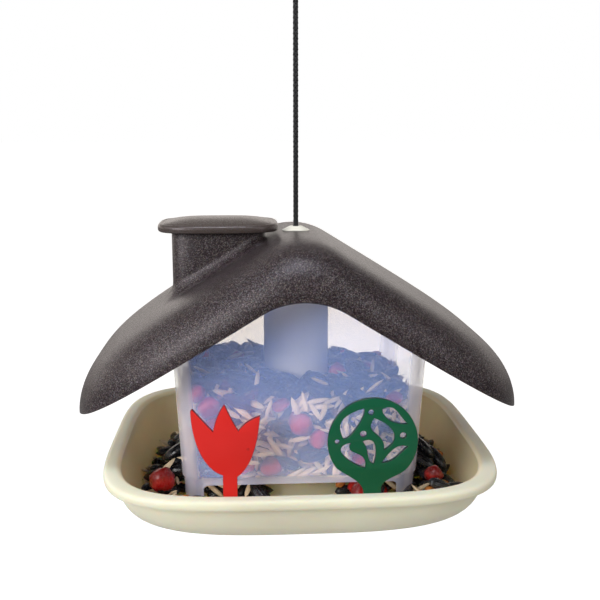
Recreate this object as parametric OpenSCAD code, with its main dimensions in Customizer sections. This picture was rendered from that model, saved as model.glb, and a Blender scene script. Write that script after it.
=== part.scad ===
// Hanging seed feeder for garden birds: an open tray, a clear hopper round a centre column,
// a saddle-shaped roof with a filling chimney and a lift-off lid, two flat plug-in ornaments
// and a rope that carries the tray from a knot under its floor.
// The origin is the top of the rope's hanging loop. Inside the modules, heights are measured
// from the tray's flat underside, and hung() moves each piece to its place under the loop.

/* [Tray] */
// Width of the tray over its rim
tray_w = 212; // [200:1:220]
// Depth of the tray over its rim
tray_d = 203; // [193:1:213]
// Height of the tray's rim above its underside
tray_h = 30.5; // [28:0.5:34]
// Thickness of the tray's wall and floor
tray_wall = 2.4; // [2:0.1:3]
// How square the rim's outline is, 2 is an ellipse
tray_power = 4.3; // [3.8:0.1:4.8]
// How far the rim stands out beyond the body
lip_out = 6.4; // [5:0.2:8]
// Height of the rolled rim
lip_h = 5; // [4:0.2:6]
// Width of the flat underside
foot_w = 165; // [155:1:172]
// Depth of the flat underside
foot_d = 134; // [126:1:144]
// How square the underside's outline is
foot_power = 2.7; // [2.4:0.1:3.2]
// Height of the mound in the middle of the floor
mound_h = 11; // [9:0.5:12.5]
// Diameter of the mound where it meets the floor
mound_d = 88; // [82:1:90]
// Height of the spigot that holds the column
spigot_h = 4; // [3:0.5:6]

/* [Hopper] */
// Width of the hopper at its foot
hopper_w = 127; // [122:1:130]
// Depth of the hopper at its foot
hopper_d = 93; // [90:1:98]
// Wall thickness of the hopper
hopper_wall = 1.8; // [1.4:0.1:2.2]
// Corner radius of the hopper
hopper_corner = 10; // [8:0.5:12]
// How far each wall leans out over a height of 100
hopper_draft = 4.9; // [3.9:0.1:5.9]
// Height of the step line above the tray's underside
step_z = 20; // [19:0.5:24]
// How far the hopper is drawn in below the step line
step_in = 0.9; // [0.5:0.1:1.2]
// Height of the feeding openings' top edge
feed_top_z = 16.1; // [13:0.1:17]
// Width of the front and back feeding openings
feed_w = 105; // [90:1:106]
// Width of the side feeding openings
feed_side_w = 64; // [56:1:72]

/* [Column] */
// Outside diameter of the centre column
column_d = 37; // [34:1:40]
// Wall thickness of the column
column_wall = 2; // [1.6:0.1:2.4]
// Height of the column's closed top
column_top_z = 140; // [134:1:141]

/* [Roof] */
// Width of the roof from eave to eave
roof_w = 240; // [230:1:250]
// Depth of the roof from hem to hem
roof_d = 156; // [148:1:166]
// Height of the hem's peak above the tray's underside
hem_peak_z = 122.2; // [117:0.2:127]
// Pitch of the roof's slopes in degrees
roof_pitch = 31.6; // [29:0.2:34]
// Rounding of the peak along the hem
peak_r = 39.9; // [34:0.1:45]
// Rounding of the peak on the ridge
ridge_r = 38.2; // [33:0.1:44]
// How far the roof swells up between its hems
roof_crown = 26.9; // [25:0.1:29]
// Thickness of the roof
roof_wall = 2.2; // [1.8:0.1:2.6]

/* [Chimney and lid] */
// Distance of the chimney's centre to the left of the rope
chimney_x = 43.4; // [42.4:0.2:45]
// Width of the chimney
chimney_w = 51; // [48:1:54]
// Depth of the chimney
chimney_d = 41; // [36:1:46]
// Height of the chimney's mouth
chimney_top_z = 149.6; // [148:0.1:153]
// Radius of the hollow that runs round the chimney's base
chimney_fillet = 8; // [5:0.5:9]
// Width of the lid
lid_w = 66.4; // [65:0.2:69]
// Depth of the lid
lid_d = 54; // [51:0.5:58]
// Thickness of the lid at its rim
lid_rim_h = 4.3; // [3.8:0.1:5]
// Rise of the lid's domed top above its rim
lid_dome = 2.6; // [1.8:0.1:3.2]
// Depth of the lid's plug in the chimney
plug_h = 6; // [4:0.5:9]

/* [Grommet] */
// Diameter of the grommet's cone where it sits on the roof
grommet_d = 15.4; // [14:0.2:17]
// Diameter of the grommet's flat top
grommet_top_d = 7; // [6.6:0.2:9]
// Height of the grommet's top, where the rope leaves
grommet_top_z = 151.3; // [150.5:0.1:153]
// Diameter of the grommet's neck in the roof
neck_d = 10; // [9:0.2:11]

/* [Ornaments] */
// Thickness of the tulip and the tree
ornament_t = 2.6; // [2:0.1:3]
// Distance of the ornaments behind the tray's front edge
ornament_in = 31.5; // [29:0.5:34]
// Distance of the tulip's stem to the left of the rope
tulip_x = 37.6; // [35:0.2:40]
// Width of the tulip's flower
tulip_w = 35; // [33:0.5:37]
// Height of the tulip's middle tip
tulip_top_z = 69.3; // [66:0.1:73]
// Height at which the flower leaves its stem
tulip_neck_z = 31.8; // [30:0.2:34]
// Width of the tulip's stem
tulip_stem_w = 7.4; // [7:0.1:8.2]
// Distance of the tree's trunk to the right of the rope
tree_x = 35.3; // [33:0.1:37]
// Width of the tree's trunk
tree_trunk_w = 9; // [8.5:0.1:9.6]
// Height of the middle of the tree's crown
crown_z = 48; // [46:0.2:50]
// Radius of the tree's crown
crown_r = 23.2; // [22:0.1:24]
// Height of the sockets that hold the ornaments
socket_top_z = 11; // [9:0.5:13]

/* [Rope] */
// Diameter of the rope
rope_d = 2.8; // [2.6:0.1:3.2]
// Diameter of the knot under the tray's floor
stop_knot_d = 9; // [8:0.5:11]
// Diameter of the knot below the hanging loop
hang_knot_d = 10; // [9:0.5:11]

/* [Fits] */
// Gap between pieces that rest on each other
rest_gap = 0.3; // [0.2:0.05:0.4]
// Gap between the hopper's top edge and the curved roof
seat_gap = 1.1; // [1:0.1:1.5]
// Gap round a plug, spigot or tang
plug_gap = 0.4; // [0.3:0.05:0.6]
// Gap round the rope where it runs through a hole
rope_gap = 0.9; // [0.7:0.1:1.2]

/* [Hidden] */

// Squareness of the roof's outline, and how late its swell falls off to the hems and the eaves
roof_power = 3.9;
gable_fall = 6.5;
eave_fall = 11;
// Squareness of the chimney's and the lid's outlines
chimney_power = 6;
lid_power = 3.8;
// Height of the loop's top above the tray's underside
hang_h = 316;
sides = 72;
rope_hole_r = rope_d / 2 + rope_gap;
lip_z = tray_h - lip_h;
column_z = mound_h + rest_gap;
mound_under = mound_h - tray_wall;
hopper_z = tray_wall + rest_gap;
ridge_z = roof_top(0, 0);
grommet_seat_z = ridge_z - 0.7;
lid_z = chimney_top_z + rest_gap;
ornament_y = tray_d / 2 - ornament_in;
// The sockets' slots end above the rising floor, and the tangs stand on them
slot_floor_z = tray_wall + 2;
tang_z = slot_floor_z + rest_gap;
snap_d = neck_d + 1.2;

// Points of the rope from the grommet to its end in the knot, in the hung frame, as x and z
rope_route = [[0, -164.7], [0, -160], [0, -155], [0, -149], [0, -142], [0, -135], [0, -128], [0, -121],
    [0, -114], [0, -107], [0, -100], [0, -93], [0, -86], [0, -79], [0, -72], [0, -65], [0, -58],
    [0, -51], [0, -44], [0, -38], [0, -33], [1, -28], [4, -22], [7, -16], [8, -10], [7, -5],
    [4, -1], [0, 0], [-4, -1], [-7, -5], [-8, -10], [-8, -16], [-6, -22], [-4, -28], [-4, -33]];

// A point on a rounded outline, from its half width, half depth, squareness and direction
function around(half_w, half_d, power, angle) =
    let (reach = pow(pow(abs(cos(angle)) / half_w, power) + pow(abs(sin(angle)) / half_d, power),
        -1 / power))
    [reach * cos(angle), reach * sin(angle)];
function turn(i) = 360 * i / sides;
function mix(a, b, share) = a + (b - a) * share;
function bezier(p, q, r, s, steps) = [for (i = [0 : steps - 1])
    let (t = i / steps, u = 1 - t)
    u * u * u * p + 3 * u * u * t * q + 3 * u * t * t * r + t * t * t * s];

// A flat ring of the rounded outline at one height, moved sideways by shift
function level(half_w, half_d, power, z, shift = 0) = [for (i = [0 : sides - 1])
    let (p = around(half_w, half_d, power, turn(i)))
    [p[0] + shift, p[1], z]];

// A rounded rectangle: straight sides of long_steps and arcs of arc_steps, from the front left
function rounded(half_w, half_d, r, long_steps, arc_steps) = [for (side = [0 : 3])
    let (run = side % 2 == 0 ? half_w - r : half_d - r, off = side % 2 == 0 ? half_d : half_w)
    each concat(
        [for (i = [0 : long_steps - 1]) spun([mix(-run, run, i / long_steps), -off], 90 * side)],
        [for (i = [0 : arc_steps - 1])
            let (a = 90 * i / arc_steps - 90)
            spun([run + r * cos(a), r - off + r * sin(a)], 90 * side)])];
function spun(p, angle) = [p[0] * cos(angle) - p[1] * sin(angle),
    p[0] * sin(angle) + p[1] * cos(angle)];

// The roof: a gable with a rounded peak, plus a swell that dies away at the hem
function gable(x, r) =
    let (sharp = hem_peak_z + peak_r * (1 / cos(roof_pitch) - 1), ax = abs(x))
    ax < r * sin(roof_pitch)
        ? sharp - r / cos(roof_pitch) + sqrt(r * r - ax * ax)
        : sharp - ax * tan(roof_pitch);
function swell(x, y, half_w, half_d) =
    let (px = pow(abs(x) / half_w, roof_power), py = pow(abs(y) / half_d, roof_power),
        out = px + py)
    out < 0.000001 ? 1 : let (power = mix(gable_fall, eave_fall, px / out))
        sqrt(max(0, 1 - pow(out, power / roof_power)));
function shell_z(x, y, half_w, half_d, crown) =
    let (s = swell(x, y, half_w, half_d))
    gable(x, mix(peak_r, ridge_r, s)) + crown * s;
function roof_top(x, y) = shell_z(x, y, roof_w / 2, roof_d / 2, roof_crown);
function roof_under(x, y) =
    shell_z(x, y, roof_w / 2 - roof_wall, roof_d / 2 - roof_wall, roof_crown - roof_wall);

module hung() translate([0, 0, -hang_h]) children();

// A skin through rings of equal length, closed at both ends by flat faces, or end to end
module loft(rings, ring_shaped = false) {
    count = len(rings[0]);
    last = len(rings) - 1;
    spans = ring_shaped ? last : last - 1;
    walls = [for (i = [0 : spans], j = [0 : count - 1])
        let (a = i * count + j, b = i * count + (j + 1) % count,
            d = ((i + 1) % (last + 1)) * count + j,
            c = ((i + 1) % (last + 1)) * count + (j + 1) % count)
        each [[a, d, c], [a, c, b]]];
    ends = ring_shaped ? [] : [[for (j = [0 : count - 1]) j],
        [for (j = [count - 1 : -1 : 0]) last * count + j]];
    polyhedron(points = [for (r = rings) each r], faces = concat(walls, ends), convexity = 10);
}

// One ring of the tray's bowl: climb goes from 0 at the foot to 90 under the rim
function bowl_ring(climb, wall) =
    let (out = sin(climb), top = wall > 0 ? tray_h - 1.8 : lip_z)
    level(mix(foot_w / 2, tray_w / 2 - lip_out, out) - wall,
        mix(foot_d / 2, tray_d / 2 - lip_out, out) - wall,
        mix(foot_power, tray_power, out),
        mix(top, wall, cos(climb)));
function rim_ring(inset, z) =
    level(tray_w / 2 - inset, tray_d / 2 - inset, tray_power, z);

module tray_bowl() {
    loft(concat(
        [for (climb = [0 : 15 : 90]) bowl_ring(climb, 0)],
        [rim_ring(0.8, lip_z), rim_ring(0, lip_z + lip_h * 0.3), rim_ring(0, lip_z + lip_h * 0.7),
            rim_ring(0.7, tray_h - 0.5), rim_ring(2, tray_h), rim_ring(lip_out, tray_h),
            rim_ring(lip_out + 1.6, tray_h - 0.5)],
        [for (climb = [90 : -15 : 0]) bowl_ring(climb, tray_wall)]));
}

// Half of the mound's section, offset downwards for its hollow underside
function mound_line(drop) = concat(
    bezier([mound_d / 2, tray_wall - drop], [mound_d / 2 - 12, tray_wall - drop],
        [column_d / 2 + 12, mound_h - drop], [column_d / 2 + 2, mound_h - drop], 8),
    [[column_d / 2 + 2, mound_h - drop]]);

module mound() {
    rotate_extrude($fn = 96)
        polygon(concat([[0, 1], [mound_d / 2, 1]], mound_line(0), [[0, mound_h]]));
    spigot_r = column_d / 2 - column_wall - plug_gap;
    translate([0, 0, mound_h - 1]) difference() {
        cylinder(h = spigot_h + 1, r = spigot_r, $fn = 96);
        translate([0, 0, -1]) cylinder(h = spigot_h + 3, r = spigot_r - tray_wall, $fn = 96);
    }
}

module mound_hollow() {
    rotate_extrude($fn = 96)
        polygon(concat([[0, -1], [mound_d / 2, -1]], mound_line(tray_wall), [[0, mound_under]]));
    cylinder(h = tray_h, r = rope_hole_r, $fn = 48);
}

// A socket with a slot for an ornament's tang
module socket(x, tang_w) {
    wall = 2.2;
    base_z = tray_wall - 0.2;
    slot_w = tang_w + 2 * plug_gap;
    slot_t = ornament_t + 2 * plug_gap;
    translate([x, -ornament_y, 0]) difference() {
        translate([-slot_w / 2 - wall, -slot_t / 2 - wall, base_z])
            cube([slot_w + 2 * wall, slot_t + 2 * wall, socket_top_z - base_z]);
        translate([-slot_w / 2, -slot_t / 2, slot_floor_z])
            cube([slot_w, slot_t, socket_top_z]);
    }
}

// Low curbs on the floor that hold the hopper's corners from inside
module corner_curb(qx, qy) {
    reach = hopper_wall + step_in + plug_gap;
    arc_r = hopper_corner - reach;
    translate([qx * (hopper_w / 2 - hopper_corner), qy * (hopper_d / 2 - hopper_corner), 1])
        rotate([0, 0, qx > 0 ? (qy > 0 ? 0 : -90) : (qy > 0 ? 90 : 180)])
            rotate_extrude(angle = 90, $fn = 48) translate([arc_r - 1.6, 0]) square([1.6, 5]);
}

module tray() color("ivory") hung() {
    difference() {
        union() {
            tray_bowl();
            mound();
            socket(-tulip_x, tulip_stem_w);
            socket(tree_x, tree_trunk_w);
            for (qx = [-1, 1], qy = [-1, 1]) corner_curb(qx, qy);
        }
        mound_hollow();
    }
}

module centre_column() color("ivory") hung() {
    outer = column_d / 2;
    inner = outer - column_wall;
    rotate_extrude($fn = 96) polygon([[inner, column_z], [outer, column_z],
        [outer, column_top_z - 2], [outer - 2, column_top_z], [rope_hole_r, column_top_z],
        [rope_hole_r, column_top_z - column_wall], [inner - 1, column_top_z - column_wall],
        [inner, column_top_z - column_wall - 1]]);
}

// One outline of the hopper at a height; inset draws it in
function hopper_outline(z, inset) =
    let (lean = (z - hopper_z) * hopper_draft / 100 - inset)
    rounded(hopper_w / 2 + lean, hopper_d / 2 + lean, hopper_corner - inset, 14, 4);
function hopper_ring(z, inset) = [for (p = hopper_outline(z, inset)) [p[0], p[1], z]];
// The top edge follows the underside of the roof
function hopper_top(inset) =
    let (guess = 120, outline = hopper_outline(guess, inset))
    [for (p = outline)
        let (z = roof_under(p[0], p[1]) - seat_gap, more = (z - guess) * hopper_draft / 100)
        [p[0] + sign(p[0]) * more * min(1, abs(p[0]) / hopper_w * 2),
            p[1] + sign(p[1]) * more * min(1, abs(p[1]) / hopper_d * 2), z]];

module hopper_shell() {
    foot_in = step_in + hopper_wall;
    loft([hopper_ring(hopper_z, step_in), hopper_ring(step_z - 0.5, step_in),
        hopper_ring(step_z + 0.5, 0), hopper_ring(60, 0), hopper_ring(100, 0), hopper_top(0),
        hopper_top(hopper_wall), hopper_ring(100, hopper_wall), hopper_ring(60, hopper_wall),
        hopper_ring(step_z + 0.5, hopper_wall), hopper_ring(step_z - 0.5, foot_in),
        hopper_ring(hopper_z, foot_in)], true);
}

module feed_opening(width, reach) {
    r = 2.5;
    rotate([90, 0, 0]) linear_extrude(2 * reach, center = true) {
        translate([-width / 2, 0]) square([width, feed_top_z - r]);
        translate([r - width / 2, 0]) square([width - 2 * r, feed_top_z]);
        for (s = [-1, 1]) translate([s * (width / 2 - r), feed_top_z - r]) circle(r, $fn = 24);
    }
}

module hopper() color("lavender", 0.5) hung() difference() {
    hopper_shell();
    feed_opening(feed_w, hopper_d);
    rotate([0, 0, 90]) feed_opening(feed_side_w, hopper_w);
}

// The roof's rings run from the hem up to the chimney's mouth and back down inside
function mouth_point(i, inset) =
    let (p = around(chimney_w / 2 - inset, chimney_d / 2 - inset, chimney_power, turn(i)))
    [p[0] - chimney_x, p[1]];
function hem_point(i, inset) =
    around(roof_w / 2 - inset, roof_d / 2 - inset, roof_power, turn(i));
function fillet_r(i) =
    let (p = mouth_point(i, 0))
    min(chimney_fillet, chimney_top_z - 0.8 - roof_top(p[0], p[1]));
function fillet_ring(angle) = [for (i = [0 : sides - 1])
    let (r = fillet_r(i), p = mouth_point(i, -r * (1 - sin(angle))))
    [p[0], p[1], roof_top(p[0], p[1]) + r * (1 - cos(angle))]];
function mouth_ring(inset, z) = [for (i = [0 : sides - 1])
    let (p = mouth_point(i, inset))
    [p[0], p[1], z]];
function top_ring(share) = [for (i = [0 : sides - 1])
    let (p = mix(hem_point(i, 0), mouth_point(i, -fillet_r(i)), share))
    [p[0], p[1], roof_top(p[0], p[1])]];
function under_ring(share) = [for (i = [0 : sides - 1])
    let (p = mix(hem_point(i, roof_wall), mouth_point(i, roof_wall), share))
    [p[0], p[1], roof_under(p[0], p[1])]];
shell_steps = 13;
function shell_share(k) = pow(k / shell_steps, 1.6);

module roof_shell() loft(concat(
    [for (k = [0 : shell_steps - 1]) top_ring(shell_share(k))],
    [for (angle = [0 : 22.5 : 90]) fillet_ring(angle)],
    [mouth_ring(0, chimney_top_z), mouth_ring(roof_wall, chimney_top_z)],
    [for (k = [shell_steps : -1 : 0]) under_ring(shell_share(k))]), true);

module roof() color("dimgray") hung() difference() {
    roof_shell();
    translate([0, 0, grommet_seat_z]) cylinder(h = 10, d = grommet_d + 2 * plug_gap, $fn = 72);
    translate([0, 0, ridge_z - 20]) cylinder(h = 30, r = neck_d / 2 + 0.1, $fn = 72);
}

module rope_grommet() color("ivory") hung() {
    base_z = grommet_seat_z + 0.1;
    under_z = ridge_z - roof_wall - 1.2;
    rotate_extrude($fn = 72) polygon([[rope_hole_r, under_z - 1.8], [neck_d / 2, under_z - 1.8],
        [snap_d / 2, under_z - 1], [snap_d / 2, under_z - 0.5], [neck_d / 2, under_z],
        [neck_d / 2, base_z], [grommet_d / 2, base_z], [grommet_d / 2, base_z + 0.3],
        [grommet_top_d / 2, grommet_top_z], [rope_hole_r, grommet_top_z]]);
}

function lid_ring(inset, z) =
    level(lid_w / 2 - inset, lid_d / 2 - inset, lid_power, lid_z + z, -chimney_x);
function plug_ring(inset, z) =
    level(chimney_w / 2 - inset, chimney_d / 2 - inset, chimney_power, lid_z + z, -chimney_x);
module chimney_lid() color("dimgray") hung() {
    plug_in = roof_wall + plug_gap;
    plug_wall = 1.8;
    loft([plug_ring(plug_in + plug_wall, 1.2), plug_ring(plug_in + plug_wall, -plug_h),
        plug_ring(plug_in, -plug_h), plug_ring(plug_in, 0), lid_ring(1.2, 0),
        lid_ring(0.3, 0.5), lid_ring(0, 1.4), lid_ring(0.1, lid_rim_h - 1.2),
        lid_ring(0.8, lid_rim_h - 0.3), lid_ring(2, lid_rim_h), lid_ring(2.6, lid_rim_h - 0.2),
        lid_ring(3.4, lid_rim_h + 0.1), lid_ring(10, lid_rim_h + lid_dome * 0.6),
        lid_ring(18, lid_rim_h + lid_dome * 0.92), lid_ring(25, lid_rim_h + lid_dome)]);
}

// An ornament's outline stands upright in its plane, in front of the hopper
module upright() translate([0, ornament_t / 2 - ornament_y, 0]) rotate([90, 0, 0])
    linear_extrude(ornament_t) children();

// A point of the flower, in shares of its width and of its height above the neck
function petal(x, up) = [x * tulip_w, mix(tulip_neck_z, tulip_top_z, up)];

// The tulip, drawn from the middle of its stem
module tulip_outline() {
    left_tip = petal(-0.53, 0.94);
    left_side = petal(-0.557, 0.907);
    left_dip = petal(-0.237, 0.62);
    middle_tip = petal(-0.069, 1);
    right_dip = petal(0.128, 0.627);
    right_tip = petal(0.443, 0.83);
    half = tulip_stem_w / 2;
    polygon(concat(
        [[half, tang_z], [half, tulip_neck_z - 1]],
        bezier([half, tulip_neck_z - 1], petal(0.3, 0.11), petal(0.4, 0.38), right_tip, 14),
        bezier(right_tip, petal(0.289, 0.78), petal(0.206, 0.725), right_dip, 6),
        bezier(right_dip, petal(0.046, 0.752), petal(0, 0.859), middle_tip, 5),
        bezier(middle_tip, petal(-0.149, 0.899), petal(-0.203, 0.779), left_dip, 5),
        [left_dip, left_tip],
        bezier(left_side, petal(-0.54, 0.432), petal(-0.363, 0.085), [-half, tulip_neck_z], 16),
        [[-half, tulip_neck_z], [-half, tang_z]]));
}

module tulip_ornament() color("crimson") hung()
    translate([-tulip_x, 0, 0]) upright() tulip_outline();

// A curve that starts at p, passes through q and r at a third and two thirds, and ends at s
function through(p, q, r, s, steps) =
    bezier(p, (-5 * p + 18 * q - 9 * r + 2 * s) / 6, (2 * p - 9 * q + 18 * r - 5 * s) / 6, s, steps);
// A pointed leaf between two tips, with two points on each of its sides
module leaf(tip, side_a, side_b, end, back_a, back_b) polygon(crown_r * concat(
    through(tip, side_a, side_b, end, 8), through(end, back_a, back_b, tip, 8)));

// The tree, drawn from the middle of its crown
module tree_outline() {
    half = tree_trunk_w / 2;
    foot = tang_z - crown_z;
    left_end = crown_r * [cos(199), sin(199)];
    right_end = crown_r * [cos(-20), sin(-20)];
    polygon(concat(
        [[half, foot], [half, -0.905 * crown_r]],
        bezier([half, -0.905 * crown_r], [half, -0.547 * crown_r], crown_r * [0.8, -0.547],
            right_end, 10),
        [for (a = [-15 : 6 : 197]) crown_r * [cos(a), sin(a)]],
        bezier(left_end, crown_r * [-0.672, -0.461], [-half, -0.672 * crown_r],
            [-half, -1.09 * crown_r], 10),
        [[-half, -1.09 * crown_r], [-half, foot]]));
}

// The leaf-shaped openings and the small round ones, in shares of the crown's radius
module tree_cut_outs() {
    leaf([-0.211, 0.772], [-0.625, 0.569], [-0.728, 0.345], [-0.659, 0.091],
        [-0.47, 0.19], [-0.259, 0.513]);
    leaf([0.198, 0.746], [0.427, 0.767], [0.582, 0.612], [0.759, 0.401],
        [0.47, 0.435], [0.272, 0.569]);
    leaf([0.022, 0.543], [-0.022, 0.272], [0.164, 0.091], [0.241, -0.198],
        [0.478, 0.065], [0.358, 0.336]);
    leaf([-0.487, -0.009], [-0.707, -0.19], [-0.5, -0.435], [-0.164, -0.603],
        [-0.259, -0.315], [-0.47, -0.207]);
    leaf([-0.241, 0.013], [-0.134, -0.164], [-0.091, -0.375], [0.022, -0.513],
        [0.065, -0.302], [0.022, -0.022]);
    leaf([0.78, -0.125], [0.569, -0.116], [0.388, -0.246], [0.198, -0.487],
        [0.414, -0.444], [0.595, -0.302]);
    for (hole = [[-0.05, 0.68, 0.06], [-0.215, 0.185, 0.073], [0.668, 0.134, 0.073],
            [-0.79, 0.02, 0.052]])
        translate(crown_r * [hole[0], hole[1]]) circle(crown_r * hole[2], $fn = 24);
}

module tree_ornament() color("seagreen") hung()
    translate([tree_x, 0, 0]) upright() translate([0, crown_z]) difference() {
        tree_outline();
        tree_cut_outs();
    }

stop_knot_top = mound_under - rest_gap;
module rope_inner() color("black") hung()
    translate([0, 0, stop_knot_top]) cylinder(h = grommet_top_z - stop_knot_top, d = rope_d, $fn = 32);

module stop_knot() color("black") hung() {
    r = stop_knot_d / 2;
    rotate_extrude($fn = 48) polygon([[0, stop_knot_top], [r - 1.5, stop_knot_top],
        [r, stop_knot_top - 2], [r, stop_knot_top - 4.5], [r - 1.5, stop_knot_top - 6.5],
        [0, stop_knot_top - 6.5]]);
}

// One eight-sided ring of the rope, square to its run
function rope_ring(i) =
    let (last = len(rope_route) - 1, before = rope_route[max(0, i - 1)],
        after = rope_route[min(last, i + 1)], along = (after - before) / norm(after - before))
    [for (k = [0 : 7])
        let (a = 45 * k + 22.5, out = rope_d / 2 * cos(a))
        [rope_route[i][0] + out * along[1], rope_d / 2 * sin(a), rope_route[i][1] - out * along[0]]];

module rope_free() color("black") loft([for (i = [0 : len(rope_route) - 1]) rope_ring(i)]);

module hang_knot() color("black") translate([-2, 0, -33]) scale_knot();
module scale_knot() rotate_extrude($fn = 48) intersection() {
    circle(hang_knot_d / 2, $fn = 48);
    translate([0, -hang_knot_d]) square([hang_knot_d, 2 * hang_knot_d]);
}

tray();
centre_column();
hopper();
roof();
rope_grommet();
chimney_lid();
tulip_ornament();
tree_ornament();
rope_inner();
stop_knot();
rope_free();
hang_knot();
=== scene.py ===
import math
import random

import bmesh
import bpy
import numpy as np
from bpy.props import FloatProperty, FloatVectorProperty, IntProperty, PointerProperty
from bpy.types import Operator, Panel, PropertyGroup
from mathutils import Matrix, Vector


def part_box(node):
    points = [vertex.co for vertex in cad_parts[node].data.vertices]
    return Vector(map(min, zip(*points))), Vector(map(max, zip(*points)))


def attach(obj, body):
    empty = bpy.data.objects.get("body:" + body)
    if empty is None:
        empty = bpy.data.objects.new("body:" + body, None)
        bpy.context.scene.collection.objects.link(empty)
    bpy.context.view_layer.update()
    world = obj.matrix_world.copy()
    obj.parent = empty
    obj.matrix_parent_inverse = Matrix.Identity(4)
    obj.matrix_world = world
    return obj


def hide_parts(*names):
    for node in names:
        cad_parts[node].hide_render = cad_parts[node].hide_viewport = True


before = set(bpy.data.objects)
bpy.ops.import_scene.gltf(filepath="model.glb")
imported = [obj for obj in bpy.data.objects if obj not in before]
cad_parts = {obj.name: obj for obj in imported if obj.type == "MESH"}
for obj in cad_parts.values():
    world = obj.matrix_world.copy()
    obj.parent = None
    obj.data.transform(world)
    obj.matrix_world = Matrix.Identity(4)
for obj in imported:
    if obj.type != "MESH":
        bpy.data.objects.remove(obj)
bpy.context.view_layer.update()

bl_info = {
    "name": "Hanging seed feeder",
    "version": (1, 0, 0),
    "blender": (4, 5, 0),
    "location": "3D View > Sidebar > Feeder",
    "description": "Makes a hanging seed feeder with its roof, hopper, tray, ornaments, rope and seed",
    "category": "Object",
}

# Heights in the makers below are taken from the tray's underside, which hangs this far below
# the top of the rope's loop, where the frame has its origin
HANG = -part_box("tray")[0].z
MM = 0.001
# Play round a piece that can be pulled out of its seat
PLAY = 0.4 * MM
# Height of the hopper's foot
HOPPER_FOOT = 2.7 * MM
# How far the hopper's top edge stays under the roof that rests over it
SEAT_GAP = 1.1 * MM
# How far the bowl's inner wall ends below the top of the rim
WALL_END = 1.8 * MM


def reach(node, axis):
    """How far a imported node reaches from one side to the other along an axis."""
    low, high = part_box(node)
    return high[axis] - low[axis]


def metres(name, about, value):
    return FloatProperty(name=name, description=about, default=value, precision=5, unit="LENGTH")


def angle(name, about, degrees):
    return FloatProperty(name=name, description=about, default=math.radians(degrees),
                         subtype="ANGLE", unit="ROTATION")


def strength(name, about, value):
    return FloatProperty(name=name, description=about, default=value, min=0, max=2, subtype="FACTOR")


def watts(name, about, value):
    return FloatProperty(name=name, description=about, default=value, unit="POWER")


def colour(name, about, value):
    return FloatVectorProperty(name=name, description=about, default=value, size=3, min=0, max=1,
                               subtype="COLOR")


class TraySizes(PropertyGroup):
    width: metres("Width", "Width over the rolled rim", reach("tray", 0))
    depth: metres("Depth", "Depth over the rolled rim", reach("tray", 1))
    height: metres("Height", "Height of the rim above the underside", reach("tray", 2))
    wall: metres("Wall", "Thickness of the wall and floor", 2.4 * MM)
    lip_out: metres("Rim overhang", "How far the rim stands out beyond the body", 6.4 * MM)
    lip_height: metres("Rim height", "Height of the rolled rim", 5 * MM)
    foot_width: metres("Foot width", "Width of the flat underside", 165 * MM)
    foot_depth: metres("Foot depth", "Depth of the flat underside", 134 * MM)
    mound_height: metres("Mound height", "Height of the mound in the middle", 11 * MM)
    mound_width: metres("Mound width", "Width of the mound at the floor", 88 * MM)
    socket_height: metres("Socket height", "Height of the ornaments' sockets", 11 * MM)
    plastic: colour("Plastic", "Colour of the tray, column and grommet", (0.86, 0.835, 0.66))
    # The inward walls of the bowl take this colour: partly seed dust, partly painted warm shade of
    # light bouncing in the bowl
    dust_and_shade: colour("Dust", "Colour of the dusty inside of its wall", (1.0, 0.84, 0.56))


class HopperSizes(PropertyGroup):
    width: metres("Width", "Width at the foot", 127 * MM)
    depth: metres("Depth", "Depth at the foot", 93 * MM)
    wall: metres("Wall", "Thickness of the wall", 1.8 * MM)
    corner: metres("Corner", "Radius of the corners", 10 * MM)
    draft: FloatProperty(name="Draft", description="How far a wall leans out over its height",
                         default=0.049, precision=4)
    step_height: metres("Step height", "Height of the step line", 20 * MM)
    step_in: metres("Step", "How far the foot is drawn in", 0.9 * MM)
    slot_top: metres("Opening height", "Height of the feeding openings' top edge", 16.1 * MM)
    slot_width: metres("Opening width", "Width of the front and back openings", 105 * MM)
    side_slot_width: metres("Side opening width", "Width of the side openings", 64 * MM)
    column: metres("Column", "Diameter of the centre column", reach("centre_column", 0))
    haze: colour("Haze", "Light that each surface of the milky plastic scatters", (0.142, 0.200, 0.385))
    passed: colour("Light passed", "Light that each surface lets through", (0.945, 0.915, 0.86))


class RoofSizes(PropertyGroup):
    width: metres("Width", "Width from eave to eave", reach("roof", 0))
    depth: metres("Depth", "Depth from hem to hem", reach("roof", 1))
    hem_peak: metres("Hem peak", "Height of the hem's peak", 122.2 * MM)
    pitch: angle("Pitch", "Pitch of the slopes", 31.6)
    peak_round: metres("Peak rounding", "Radius of the peak along the hem", 39.9 * MM)
    ridge_round: metres("Ridge rounding", "Radius of the peak on the ridge", 38.2 * MM)
    crown: metres("Crown", "How far the roof swells up between its hems", 26.9 * MM)
    wall: metres("Wall", "Thickness of the roof", 2.2 * MM)
    plastic: colour("Plastic", "Colour of the roof", (0.010, 0.0040, 0.0062))


class ChimneySizes(PropertyGroup):
    offset: metres("Offset", "Distance of the chimney left of the rope", 43.4 * MM)
    width: metres("Width", "Width of the chimney", 51 * MM)
    depth: metres("Depth", "Depth of the chimney", 41 * MM)
    top: metres("Mouth height", "Height of the chimney's mouth", 149.6 * MM)
    fillet: metres("Fillet", "Radius of the hollow round the base", 8 * MM)
    lid_width: metres("Lid width", "Width of the lid", reach("chimney_lid", 0))
    lid_depth: metres("Lid depth", "Depth of the lid", reach("chimney_lid", 1))
    lid_rim: metres("Lid rim", "Thickness of the lid at its rim", 4.3 * MM)
    lid_dome: metres("Lid dome", "Rise of the domed top above the rim", 2.6 * MM)
    plug: metres("Plug", "Depth of the lid's plug", 6 * MM)
    lid_plastic: colour("Lid plastic", "Colour of the lid", (0.060, 0.044, 0.037))


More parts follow.
